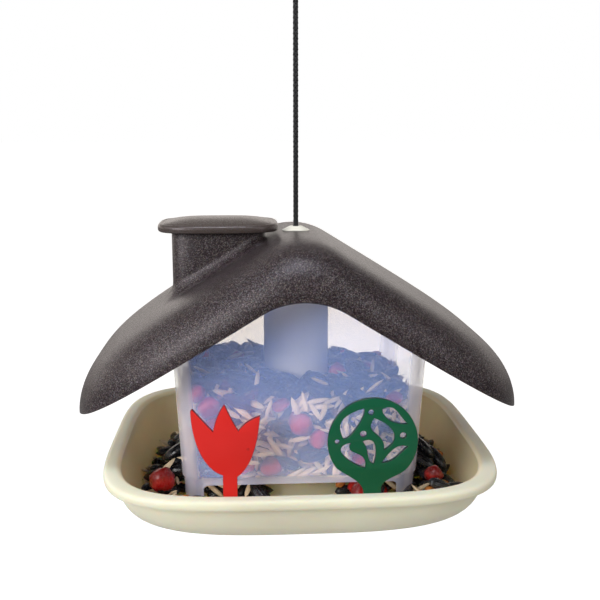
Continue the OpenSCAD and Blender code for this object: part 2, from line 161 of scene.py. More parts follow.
class OrnamentSizes(PropertyGroup):
    thickness: metres("Thickness", "Thickness of both ornaments", reach("tree_ornament", 1))
    inset: metres("Inset", "Distance behind the tray's front edge", 31.5 * MM)
    bevel: metres("Edge", "Rounding of the moulded edges", 0.35 * MM)
    tulip_offset: metres("Tulip offset", "Distance of its stem left of the rope", 37.6 * MM)
    tulip_width: metres("Tulip width", "Width of the flower", 35 * MM)
    tulip_top: metres("Tulip height", "Height of the middle tip", 69.3 * MM)
    tulip_neck: metres("Tulip neck", "Height where the flower leaves its stem", 31.8 * MM)
    tulip_stem: metres("Tulip stem", "Width of the stem", 7.4 * MM)
    tree_offset: metres("Tree offset", "Distance of its trunk right of the rope", 35.3 * MM)
    tree_trunk: metres("Tree trunk", "Width of the trunk", 9 * MM)
    crown_height: metres("Crown height", "Height of the crown's middle", 48 * MM)
    crown_radius: metres("Crown radius", "Radius of the crown", 23.2 * MM)
    red: colour("Tulip red", "Colour of the tulip", (0.78, 0.026, 0.022))
    green: colour("Tree green", "Colour of the tree", (0.004, 0.115, 0.050))


class RopeSizes(PropertyGroup):
    diameter: metres("Diameter", "Diameter of the braided rope", 3.1 * MM)
    lay_length: metres("Lay", "Length of one turn of a strand", 11 * MM)
    knot_width: metres("Knot width", "Width of the loop's knot", 9.6 * MM)
    fibre: colour("Fibre", "Colour of the fibres", (0.012, 0.012, 0.013))


class SeedSizes(PropertyGroup):
    draw: IntProperty(name="Draw", description="Start of the random order of the seed", default=7)
    sunflower: metres("Sunflower seed", "Length of a sunflower seed", 16.5 * MM)
    oat: metres("Oat grain", "Length of an oat grain", 13 * MM)
    berry: metres("Berry", "Width of a dried berry", 11.5 * MM)
    corn: metres("Corn", "Length of a piece of cracked corn", 8 * MM)
    fill: metres("Fill height", "Height of the seed in the hopper", 70 * MM)
    hull: colour("Hull", "Colour of the sunflower hulls", (0.007, 0.007, 0.008))
    husk: colour("Husk", "Colour of the oat husks", (1.0, 0.80, 0.52))
    skin: colour("Skin", "Colour of the berries", (0.60, 0.022, 0.02))
    kernel: colour("Kernel", "Colour of the corn", (0.80, 0.26, 0.04))


class StageSettings(PropertyGroup):
    drop: metres("Floor distance", "Distance from the tray down to the floor", 0.13)
    sky: strength("Sky", "Strength of the light from above", 0.30)
    backdrop: strength("Backdrop", "Strength of the low white backdrop", 1.1)
    key: watts("Key light", "Power of the large lamp high on the left", 1.0)
    top: watts("Top light", "Power of the lamp overhead", 2.7)
    front: watts("Front light", "Power of the large lamp low in front, on the left", 4.0)
    fill: watts("Fill light", "Power of the weak lamp in front, on the right", 1.4)


GROUPS = {"tray": TraySizes, "hopper": HopperSizes, "roof": RoofSizes, "chimney": ChimneySizes,
          "ornaments": OrnamentSizes, "rope": RopeSizes, "seed": SeedSizes,
          "stage": StageSettings}


class FeederSettings(PropertyGroup):
    __annotations__ = {name: PointerProperty(type=group) for name, group in GROUPS.items()}


# Outlines and skins

# Squareness of the outlines: 2 is an ellipse, and more is squarer
RIM_SQUARE, FOOT_SQUARE = 4.3, 2.7
ROOF_SQUARE, CHIMNEY_SQUARE, LID_SQUARE = 3.9, 6, 3.8
# How late the roof's swell falls off towards the gables and towards the eaves
GABLE_FALL, EAVE_FALL = 6.5, 11
# The roof's rings from its hem up to the chimney, over and under it, lie closer at the hem
OVER_STEPS, UNDER_STEPS, CLOSER = 44, 34, 2.1
ROUND = np.linspace(0, 2 * math.pi, 96, endpoint=False)


def mix(start, end, part):
    return start + (end - start) * part


def around(half_width, half_depth, square, turns):
    """Points of a rounded outline in the directions of turns, as x and y."""
    c, s = np.cos(turns), np.sin(turns)
    out = (np.abs(c / half_width) ** square + np.abs(s / half_depth) ** square) ** (-1 / square)
    return out * c, out * s


def even_turns(half_width, half_depth, square, count):
    """Directions that space the points of an outline evenly along it."""
    turns = np.linspace(0, 2 * math.pi, 4001)
    x, y = around(half_width, half_depth, square, turns)
    run = np.concatenate([[0], np.cumsum(np.hypot(np.diff(x), np.diff(y)))])
    return np.interp(np.linspace(0, run[-1], count, endpoint=False), run, turns)


def level(half_width, half_depth, square, z, turns, shift=0.0):
    """A flat ring of the rounded outline at one height."""
    x, y = around(half_width, half_depth, square, turns)
    return np.stack([x + shift, y, np.full_like(x, z)], 1)


def disc(radius, z):
    return np.stack([radius * np.cos(ROUND), radius * np.sin(ROUND), np.full_like(ROUND, z)], 1)


def at_height(flat, z):
    """An outline in x and y, raised to one height."""
    return np.column_stack([flat, np.full(len(flat), z)])


def rounded(half_width, half_depth, radius, straight, arc):
    """A rounded rectangle from the front left: straight steps a side and arc steps a corner."""
    points = []
    for side in range(4):
        run, off = (half_width, half_depth) if side % 2 == 0 else (half_depth, half_width)
        flat = run - radius
        line = [(mix(-flat, flat, i / straight), -off) for i in range(straight)]
        turn = [math.radians(90 * i / arc - 90) for i in range(arc)]
        line += [(flat + radius * math.cos(a), radius - off + radius * math.sin(a)) for a in turn]
        c, s = (1, 0, -1, 0)[side], (0, 1, 0, -1)[side]
        points += [(c * x - s * y, s * x + c * y) for x, y in line]
    return np.array(points)


def piece_of(name, mesh):
    piece = bpy.data.objects.new(name, mesh)
    bpy.context.scene.collection.objects.link(piece)
    return piece


def solid(name, points, faces, sharp, along=None):
    """A piece from points and faces; along holds each corner's place along it and round it."""
    mesh = bpy.data.meshes.new(name)
    mesh.from_pydata(points.tolist(), [], faces)
    if along is not None:
        mesh.uv_layers.new(name="along").data.foreach_set("uv", along.ravel())
    tidy_mesh(mesh, sharp)
    return piece_of(name, mesh)


def band(low, high, count):
    """Faces between two rings of points, counted from their first points."""
    return [(low + j, low + (j + 1) % count, high + (j + 1) % count, high + j)
            for j in range(count)]


def skin(name, rings, looped=False, sharp=35):
    """A closed skin through rings of equal length, capped at both ends or joined end to end."""
    points = np.concatenate(rings)
    points[:, 2] -= HANG
    count, last = len(rings[0]), len(rings)
    faces = []
    for i in range(last if looped else last - 1):
        faces += band(i * count, (i + 1) % last * count, count)
    if not looped:
        faces += [tuple(range(count))[::-1], tuple(range((last - 1) * count, last * count))]
    return solid(name, points, faces, sharp)


def tidy_mesh(mesh, sharp, weld=0.0):
    """Welds near points, turns every face outwards and shades smooth up to an angle."""
    work = bmesh.new()
    work.from_mesh(mesh)
    if weld > 0:
        bmesh.ops.remove_doubles(work, verts=work.verts, dist=weld)
    bmesh.ops.recalc_face_normals(work, faces=work.faces)
    work.to_mesh(mesh)
    work.free()
    mesh.shade_smooth()
    mesh.set_sharp_from_angle(angle=math.radians(sharp))


def fuse(piece, other, operation="UNION", sharp=35):
    """Joins another solid to a piece, or cuts it out of it, and uses the other one up."""
    change = piece.modifiers.new("fuse", "BOOLEAN")
    change.operation, change.solver, change.object = operation, "EXACT", other
    view = bpy.context.evaluated_depsgraph_get()
    mesh = bpy.data.meshes.new_from_object(piece.evaluated_get(view))
    piece.modifiers.clear()
    before, used = piece.data, other.data
    piece.data = mesh
    mesh.name = piece.name
    bpy.data.objects.remove(other)
    for old in (before, used):
        bpy.data.meshes.remove(old)
    if len(mesh.polygons) < 20:
        raise RuntimeError(f"{piece.name} was lost while its parts were fused")
    tidy_mesh(mesh, sharp)


def drill(piece, radius, low, high, sharp=35):
    """Cuts a round hole into a piece, on the rope's line, from one height to another."""
    fuse(piece, skin("drill", [disc(radius, low), disc(radius, high)]), "DIFFERENCE", sharp)


def paint(piece, material):
    piece.data.materials.clear()
    piece.data.materials.append(material)


def wear(piece, material, body, slot, *nodes):
    """Gives a piece its finish and its body, and hides the nodes that it stands for; the slot is not
    used.
    """
    paint(piece, material)
    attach(piece, body)
    if nodes:
        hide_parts(*nodes)


# Finishes

def fresh(name):
    """A new material's node tree, its Principled shader and the piece's own coordinates."""
    material = bpy.data.materials.new(name)
    material.use_nodes = True
    tree = material.node_tree
    shader = tree.nodes["Principled BSDF"]
    place = tree.nodes.new("ShaderNodeTexCoord").outputs["Object"]
    return material, tree, shader, place


def feed(tree, made, links):
    """Fills a node's inputs, each with a value or from another node's output."""
    for key, value in links.items():
        if isinstance(value, bpy.types.NodeSocket):
            tree.links.new(value, made.inputs[key])
        else:
            made.inputs[key].default_value = value


def node(tree, kind, links=None, **settings):
    """Adds a node, with its settings and what goes into its inputs."""
    made = tree.nodes.new("ShaderNode" + kind)
    for key, value in settings.items():
        setattr(made, key, value)
    feed(tree, made, links or {})
    return made


def maths(tree, operation, *values):
    """One step of arithmetic on values or outputs."""
    return node(tree, "Math", dict(enumerate(values)), operation=operation).outputs[0]


def spread(tree, value, low, high, start=0.0, end=1.0, way="LINEAR"):
    """Goes from start to end while a value goes from low to high."""
    links = {"Value": value, "From Min": low, "From Max": high, "To Min": start, "To Max": end}
    return node(tree, "MapRange", links, interpolation_type=way).outputs[0]


def axes(tree, vector):
    """The outputs for x, y and z of a vector."""
    return node(tree, "SeparateXYZ", {0: vector}).outputs


def noise(tree, place, size, detail=2.0, rough=0.5):
    """Noise with features of about one size in metres."""
    links = {"Vector": place, "Scale": 1 / size, "Detail": detail, "Roughness": rough}
    return node(tree, "TexNoise", links).outputs["Fac"]


def waves(tree, count, distortion, finer=1.0):
    """Uneven stripes that run along a piece."""
    links = {"Vector": node(tree, "UVMap").outputs["UV"], "Scale": count,
             "Distortion": distortion, "Detail": 2.0, "Detail Scale": finer}
    return node(tree, "TexWave", links, bands_direction="Y").outputs["Fac"]


def ramp(tree, factor, *stops):
    """A colour ramp through pairs of place and colour or grey."""
    made = node(tree, "ValToRGB", {"Fac": factor})
    bar = made.color_ramp
    while len(bar.elements) < len(stops):
        bar.elements.new(0.5)
    for element, (at, value) in zip(bar.elements, stops):
        element.position = at
        grey = not hasattr(value, "__len__")
        element.color = (value, value, value, 1) if grey else (*value, 1)
    return made.outputs["Color"]


def blend(tree, factor, first, second, kind="MIX"):
    """A mix of two colours; either may be a socket."""
    links = {0: factor}
    for index, value in ((6, first), (7, second)):
        links[index] = value if isinstance(value, bpy.types.NodeSocket) else (*value, 1)
    return node(tree, "Mix", links, data_type="RGBA", blend_type=kind).outputs[2]


def bump(tree, height, depth, under=None):
    """A relief of a pattern, laid over another relief where there is one."""
    links = {"Height": height, "Strength": 1.0, "Distance": depth}
    if under is not None:
        links["Normal"] = under
    return node(tree, "Bump", links).outputs["Normal"]


def scaled(tint, by):
    return tuple(min(1.0, value * by) for value in tint)


def drifting(tree, place, tint, size, darkest, palest):
    """A tint that drifts slowly between a darker and a paler tone of itself."""
    return ramp(tree, noise(tree, place, size, 3), (0.3, scaled(tint, darkest)),
                (0.7, scaled(tint, palest)))


def show_sum(tree, first, second):
    """Lets two shaders add up on a material's surface."""
    both = node(tree, "AddShader", {0: first.outputs[0], 1: second.outputs[0]})
    feed(tree, tree.nodes["Material Output"], {"Surface": both.outputs[0]})


def smooth_plastic(name, tint, rough=0.38, coat=0.25, drift=0.06, dust_and_shade=None, gloss=0.5, painted_edge_shade=None):
    """Injection-moulded plastic: a slow drift of tone, faint flow marks and a fine skin."""
    material, tree, shader, place = fresh(name)
    tone = drifting(tree, place, tint, 45 * MM, 1 - drift, 1 + drift * 0.5)
    # Walls that face the middle take the dust colour: seed dust, and painted warm shade of light
    # bouncing in the bowl
    if dust_and_shade is not None:
        tone = blend(tree, faces_inwards(tree, place), tone, dust_and_shade)
        feed(tree, shader, {"Subsurface Weight": 0.7, "Subsurface Radius": (1.0, 0.72, 0.48),
                            "Subsurface Scale": 5 * MM})
    # Faces that don't look front or back, the plate's moulded edges, are darkened: painted shade on the
    # edges
    if painted_edge_shade is not None:
        way = axes(tree, node(tree, "NewGeometry").outputs["Normal"])["Y"]
        tone = blend(tree, ramp(tree, maths(tree, "MULTIPLY", way, way), (0.45, 1.0), (0.85, 0.0)),
                     tone, scaled(tint, painted_edge_shade))
    feed(tree, shader, {
        "Base Color": tone,
        "Roughness": ramp(tree, noise(tree, place, 6 * MM, 4), (0.35, rough - 0.05),
                          (0.7, rough + 0.06)),
        "Normal": bump(tree, noise(tree, place, 0.9 * MM, 2), 0.02 * MM),
        "Specular IOR Level": gloss,
        "Coat Weight": coat,
        "Coat Roughness": 0.25})
    return material


def faces_inwards(tree, place):
    """1 where a wall faces the piece's upright middle line, and 0 where it faces away."""
    flat = node(tree, "VectorMath", {0: place, 1: (1, 1, 0)}, operation="MULTIPLY")
    out = node(tree, "VectorMath", {0: flat.outputs[0]}, operation="NORMALIZE")
    normal = node(tree, "NewGeometry").outputs["Normal"]
    facing = node(tree, "VectorMath", {0: normal, 1: out.outputs[0]}, operation="DOT_PRODUCT")
    return spread(tree, facing.outputs["Value"], -0.05, -0.45)


def grained_plastic(name, tint, grain_size, depth, sparkle, rough, gloss=0.6):
    """Dark plastic with an eroded grain; pale flecks in its colour are partly the plastic's own fleck
    and partly painted sparkle of grain tips in the light.
    """
    material, tree, shader, place = fresh(name)
    ground = drifting(tree, place, tint, 35 * MM, 0.88, 1.12)
    cells = node(tree, "TexVoronoi", {"Vector": place, "Scale": 1 / grain_size,
                                      "Randomness": 1.0}, feature="F1").outputs
    # Pale flecks on the grain's cells: the plastic's own fleck, and painted sparkle of the tips
    # catching light
    tips = ramp(tree, cells["Color"], (0.5, 0.0), (0.9, 1.0))
    lit = blend(tree, 0.4, (sparkle, sparkle * 0.79, sparkle * 0.90), cells["Color"], "MULTIPLY")
    fine = noise(tree, place, grain_size * 0.8, 3, 0.6)
    feed(tree, shader, {
        "Base Color": blend(tree, tips, ground, lit),
        "Normal": bump(tree, fine, depth, bump(tree, cells["Distance"], depth * 0.7)),
        "Roughness": ramp(tree, fine, (0.3, rough - 0.06), (0.7, rough + 0.08)),
        "Specular IOR Level": gloss,
        "Specular Tint": (1.0, 0.92, 0.96, 1)})
    return material


def milky_plastic(name, hopper):
    """Translucent plastic: it scatters blue, lets warm light through and shines in front."""
    material, tree, shader, place = fresh(name)
    drift = drifting(tree, place, hopper.haze, 30 * MM, 0.94, 1.05)
    # Seen along a wall there is more plastic to look through, so edges and corners turn white
    facing = node(tree, "LayerWeight", {"Blend": 0.5}).outputs["Facing"]
    edge = ramp(tree, facing, (0.55, 0.0), (0.97, 1.0))
    thick, rear = thicker_parts(tree, place, hopper)
    white = blend(tree, thick, drift, (0.40, 0.41, 0.50))
    feed(tree, shader, {
        "Roughness": 0.07,
        "Specular IOR Level": 0.7,
        "Base Color": blend(tree, edge, white, (0.52, 0.53, 0.62)),
        "Normal": bump(tree, noise(tree, place, 18 * MM, 2), 0.02 * MM)})
    through = blend(tree, rear, hopper.passed, scaled(hopper.passed, 0.86))
    through = blend(tree, thick, through, (0.62, 0.61, 0.60))
    clear = node(tree, "BsdfTransparent", {"Color": blend(tree, edge, through, (0.55, 0.55, 0.52))})
    show_sum(tree, clear, shader)
    return material


def thicker_parts(tree, place, hopper):
    """How thick the hopper's plastic is, at its corners and foot, and how near to the back."""
    x, y, z = axes(tree, place)
    lean = maths(tree, "MULTIPLY_ADD", z, hopper.draft, (HANG - HOPPER_FOOT) * hopper.draft)
    past = []
    for across, span in ((x, hopper.width), (y, hopper.depth)):
        upright = maths(tree, "SUBTRACT", maths(tree, "ABSOLUTE", across), lean)
        past.append(maths(tree, "SUBTRACT", upright, span / 2 - hopper.corner))
    corner = spread(tree, maths(tree, "MINIMUM", *past), -1.5 * MM, 4 * MM, way="SMOOTHSTEP")
    step = hopper.step_height - HANG
    foot = spread(tree, z, step + 0.4 * MM, step - 0.6 * MM, end=0.7)
    return maths(tree, "MAXIMUM", corner, foot), spread(tree, y, 30 * MM, 40 * MM)


def rope_fibre(name, tint):
    """Synthetic fibre in fine parallel threads, a little dusty on top."""
    material, tree, shader, place = fresh(name)
    threads = waves(tree, 9.0, 1.5)
    feed(tree, shader, {
        "Base Color": ramp(tree, threads, (0.2, scaled(tint, 0.6)), (0.9, scaled(tint, 1.7))),
        "Normal": bump(tree, threads, 0.05 * MM),
        "Roughness": ramp(tree, noise(tree, place, 2 * MM), (0.3, 0.5), (0.7, 0.75)),
        "Sheen Weight": 0.06})
    return material


def seed_finish(name, dark, pale, rough, stripes, depth, wrinkle):
    """The skin of one kind of seed: ribs along it, wrinkles, and a tone that differs by seed."""
    material, tree, shader, place = fresh(name)
    depth, wrinkle = depth * MM, wrinkle * MM
    ribs = waves(tree, stripes, 2.5, 1.5)
    ribbed = ramp(tree, ribs, (0.35, dark), (0.95, pale))
    tone = node(tree, "Attribute", attribute_name="tone").outputs["Fac"]
    own = ramp(tree, tone, (0.0, 0.72), (1.0, 1.0))
    crease = noise(tree, place, wrinkle, 3)
    feed(tree, shader, {
        "Base Color": blend(tree, 1.0, ribbed, own, "MULTIPLY"),
        "Normal": bump(tree, ribs, depth * 0.5, bump(tree, crease, depth)),
        "Roughness": ramp(tree, crease, (0.3, rough - 0.1), (0.7, rough + 0.1))})
    return material


CAMERA_PLACE = (-0.02797, -0.48921, -0.1132)
CAMERA_TURN = (79.108, 0, -3.552)
WHITE = (1, 1, 1)
# Each lamp's size, its place, the height on the rope's line that it points to, and its tint
LAMPS = {"key": (0.5, (-0.74, -0.22, 0.22), -0.20, WHITE),
         "top": (0.26, (-0.05, -0.30, 0.50), -0.20, (0.84, 0.90, 1)),
         "front": (0.45, (-0.56, -0.71, 0.09), -0.25, WHITE),
         "fill": (0.6, (0.62, -0.68, 0.18), -0.25, WHITE)}
FLOOR_HALF, FLOOR_NEAR = 30.0, -0.5


class FEEDER_OT_stage(Operator):
    """Sets up the camera, the pale floor, the sky and four soft lamps"""
    bl_idname = "feeder.stage"
    bl_label = "Set the stage"

    def execute(self, context):
        stage = context.scene.feeder.stage
        lens = bpy.data.cameras.new("camera")
        lens.lens, lens.sensor_width, lens.clip_start = 52.11, 36, 0.01
        camera = piece_of("camera", lens)
        camera.location = CAMERA_PLACE
        camera.rotation_euler = [math.radians(turn) for turn in CAMERA_TURN]
        context.scene.camera = camera
        context.scene.view_settings.view_transform = "Standard"
        self.sky(context.scene, stage)
        self.floor(stage)
        for name, settings in LAMPS.items():
            self.lamp(name, getattr(stage, name), *settings)
        return {"FINISHED"}

    def sky(self, scene, stage):
        """White where it is seen; as a light it is brightest in a low backdrop behind."""
        scene.world = bpy.data.worlds.new("sky")
        scene.world.use_nodes = True
        tree = scene.world.node_tree
        x, y, z = axes(tree, node(tree, "TexCoord").outputs["Generated"])
        high = spread(tree, z, -0.06, 0.06, 0.1, stage.sky, "SMOOTHSTEP")
        behind = spread(tree, y, -0.2, 0.4, way="SMOOTHSTEP")
        low = spread(tree, z, 0.36, 0.12, 0.0, stage.backdrop, "SMOOTHSTEP")
        panel = maths(tree, "MULTIPLY", behind, low)
        side = maths(tree, "MULTIPLY_ADD", x, -0.5, 1.0)
        lit = maths(tree, "MULTIPLY_ADD", high, side, panel)
        path = node(tree, "LightPath").outputs
        seen = maths(tree, "MAXIMUM", path["Is Camera Ray"], path["Is Transmission Ray"])
        feed(tree, tree.nodes["Background"], {
            "Strength": spread(tree, seen, 0.0, 1.0, lit, 1.0),
            "Color": blend(tree, seen, (1.0, 0.93, 0.87), WHITE)})

    def floor(self, stage):
        """A wide pale floor; to the camera it glows up to white and keeps its shadow."""
        z = -HANG - stage.drop
        corners = [(-FLOOR_HALF, FLOOR_NEAR, z), (FLOOR_HALF, FLOOR_NEAR, z),
                   (FLOOR_HALF, FLOOR_HALF, z), (-FLOOR_HALF, FLOOR_HALF, z)]
        mesh = bpy.data.meshes.new("floor")
        mesh.from_pydata(corners, [], [(0, 1, 2, 3)])
        floor = piece_of("floor", mesh)
        material, tree, shader, place = fresh("floor_white")
        feed(tree, shader, {
            "Roughness": 1.0,
            "Specular IOR Level": 0.0,
            "Base Color": ramp(tree, noise(tree, place, 0.5, 3), (0.3, 0.61), (0.7, 0.63))})
        seen = node(tree, "LightPath").outputs["Is Camera Ray"]
        glow = node(tree, "Emission", {"Color": (1, 1, 1, 1),
                                       "Strength": maths(tree, "MULTIPLY", seen, 0.84)})
        show_sum(tree, shader, glow)
        mesh.materials.append(material)

    def lamp(self, name, power, size, place, aim, tint):
        light = bpy.data.lights.new(name, "AREA")
        light.shape, light.size, light.energy, light.color = "DISK", size, power, tint
        lamp = piece_of(name, light)
        lamp.location = place
        ahead = Vector((0, 0, aim)) - Vector(place)
        lamp.rotation_euler = ahead.to_track_quat("-Z", "Y").to_euler()


# Points of the rope from the grommet round the loop to the knot, as x and z
ROPE_ROUTE = np.array(
    [(0, z) for z in (-164.7, -160, -155, *range(-149, -43, 7), -38, -33)]
    + [(1, -28), (4, -22), (7, -16), (8, -10), (7, -5), (4, -1.2), (0, -0.3), (-4, -1.2),
       (-7, -5), (-8, -10), (-8, -16), (-6, -22), (-4, -28), (-4, -33)]) * MM
KNOT_PLACE = Vector((-2, 0, -33)) * MM


def spline_through(points, step):
    """A smooth line through points, sampled at even steps along it."""
    points = np.asarray(points, float)
    padded = np.concatenate([[2 * points[0] - points[1]], points, [2 * points[-1] - points[-2]]])
    line = []
    for a, b, c, d in zip(padded, padded[1:], padded[2:], padded[3:]):
        for t in np.linspace(0, 1, 12, endpoint=False):
            line.append(0.5 * (2 * b + (c - a) * t + (2 * a - 5 * b + 4 * c - d) * t * t
                               + (3 * b - a - 3 * c + d) * t ** 3))
    line = np.array(line + [points[-1]])
    run = np.concatenate([[0], np.cumsum(np.linalg.norm(np.diff(line, axis=0), axis=1))])
    count = max(3, int(run[-1] / step))
    at = np.linspace(0, run[-1], count + 1)
    return np.stack([np.interp(at, run, line[:, k]) for k in range(3)], 1), at


def frames_along(line):
    """Two directions square to a line at each point, turned as little as can be."""
    ahead = np.gradient(line, axis=0)
    ahead /= np.linalg.norm(ahead, axis=1, keepdims=True)
    side = np.cross(ahead[0], (0.0, 1.0, 0.0))
    sides = []
    for way in ahead:
        side = side - way * np.dot(side, way)
        side = side / np.linalg.norm(side)
        sides.append(side)
    sides = np.array(sides)
    return sides, np.cross(ahead, sides)


def braid(name, points, rope):
    """Eight strands, four each way round, that pass over and under one another on a dark core."""
    line, run = spline_through(points, 0.7 * MM)
    first, second = frames_along(line)
    diameter, radius, lay = rope.diameter, rope.diameter / 2, rope.lay_length
    # A strand's half thickness and half width, and how far it dips at a crossing
    thick, wide, dip = radius * 0.24, radius * 0.40, radius * 0.08
    middle = radius - thick - dip
    corners = np.linspace(0, 2 * math.pi, 6, endpoint=False)
    verts, faces, uvs = [], [], []

    def tube(centre, out, across, half_out, half_across):
        base, sides = sum(len(v) for v in verts), len(corners)
        ring = [centre + half_out * math.cos(a) * out + half_across * math.sin(a) * across
                for a in corners]
        verts.append(np.stack(ring, 1).reshape(-1, 3))
        for i in range(len(line) - 1):
            faces.extend(band(base + i * sides, base + (i + 1) * sides, sides))
            u, w = run[i] / diameter, run[i + 1] / diameter
            for j in range(sides):
                uvs.extend([(u, j / sides), (u, (j + 1) / sides), (w, (j + 1) / sides), (w, j / sides)])
        end = base + (len(line) - 1) * sides
        for cap in (range(base, base + sides), range(end + sides - 1, end - 1, -1)):
            faces.append(tuple(cap))
            uvs.extend([(0, 0)] * sides)

    for way in (1, -1):
        for strand in range(4):
            turn = way * 2 * math.pi * run / lay + strand * math.pi / 2
            over = way * dip * np.cos(4 * 2 * math.pi * run / lay)
            out = np.cos(turn)[:, None] * first + np.sin(turn)[:, None] * second
            across = -np.sin(turn)[:, None] * first + np.cos(turn)[:, None] * second
            tube(line + (middle + over)[:, None] * out, out, across, thick, wide)
    tube(line, first, second, radius * 0.62, radius * 0.62)
    return solid(name, np.concatenate(verts), faces, 60, np.array(uvs, float)), line


def wraps(middle, radius, turns, rise, lean):
    """A helix of rope round an upright line: the wraps of a knot."""
    points = []
    for i in range(int(turns * 12) + 1):
        a = 2 * math.pi * i / 12
        points.append((middle[0] + radius * math.cos(a), middle[1] + radius * math.sin(a),
                       middle[2] + rise * (i / 12 - turns / 2) + lean * math.cos(a)))
    return points


class FEEDER_OT_rope(Operator):
    """Makes the braided rope, its loop, and the knots above and below"""
    bl_idname = "feeder.rope"
    bl_label = "Make the rope"

    def execute(self, context):
        rope = context.scene.feeder.rope
        fibre = rope_fibre("black_rope", rope.fibre)
        route = [(x, 0, z) for x, z in ROPE_ROUTE]
        free, line = braid("rope", route, rope)
        wear(free, fibre, "tray_body", "black_rope", "rope_free")
        wound = (rope.knot_width - rope.diameter) / 2
        turned = wraps(KNOT_PLACE, wound, 3, rope.diameter * 0.92, 0.3 * MM)
        knot, _ = braid("loop_knot", turned, rope)
        wear(knot, fibre, "tray_body", "black_rope", "hang_knot")
        low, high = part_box("stop_knot")
        turned = wraps((low + high) / 2, 2.9 * MM, 1.6, 2.2 * MM, 0.2 * MM)
        stop, _ = braid("stop_knot_wraps", turned, rope)
        wear(stop, fibre, "tray_body", "black_rope", "stop_knot")
        length = float(np.linalg.norm(np.diff(line, axis=0), axis=1).sum())
        paint(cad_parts["rope_inner"], fibre)
        return {"FINISHED"}


def bowl_size(tray, climb, wall):
    """The bowl's half width, half depth and squareness, climbing from foot to rim by an angle."""
    out = math.sin(climb)
    half_w = mix(tray.foot_width / 2, tray.width / 2 - tray.lip_out, out) - wall
    half_d = mix(tray.foot_depth / 2, tray.depth / 2 - tray.lip_out, out) - wall
    return half_w, half_d, mix(FOOT_SQUARE, RIM_SQUARE, out)


def bowl_ring(tray, climb, wall, turns):
    """One ring of the tray's bowl: climb goes from 0 at the foot to a right angle at the rim."""
    top = tray.height - (WALL_END if wall > 0 else tray.lip_height)
    return level(*bowl_size(tray, climb, wall), mix(top, wall, math.cos(climb)), turns)


def bowl_floor(tray, x, y):
    """Height of the tray's inner surface at one place, by halving the climb."""
    low, high = 0.0, math.pi / 2
    for _ in range(18):
        climb = (low + high) / 2
        half_w, half_d, square = bowl_size(tray, climb, tray.wall)
        if (abs(x) / half_w) ** square + (abs(y) / half_d) ** square < 1:
            high = climb
        else:
            low = climb
    return mix(tray.height - WALL_END, tray.wall, math.cos((low + high) / 2))


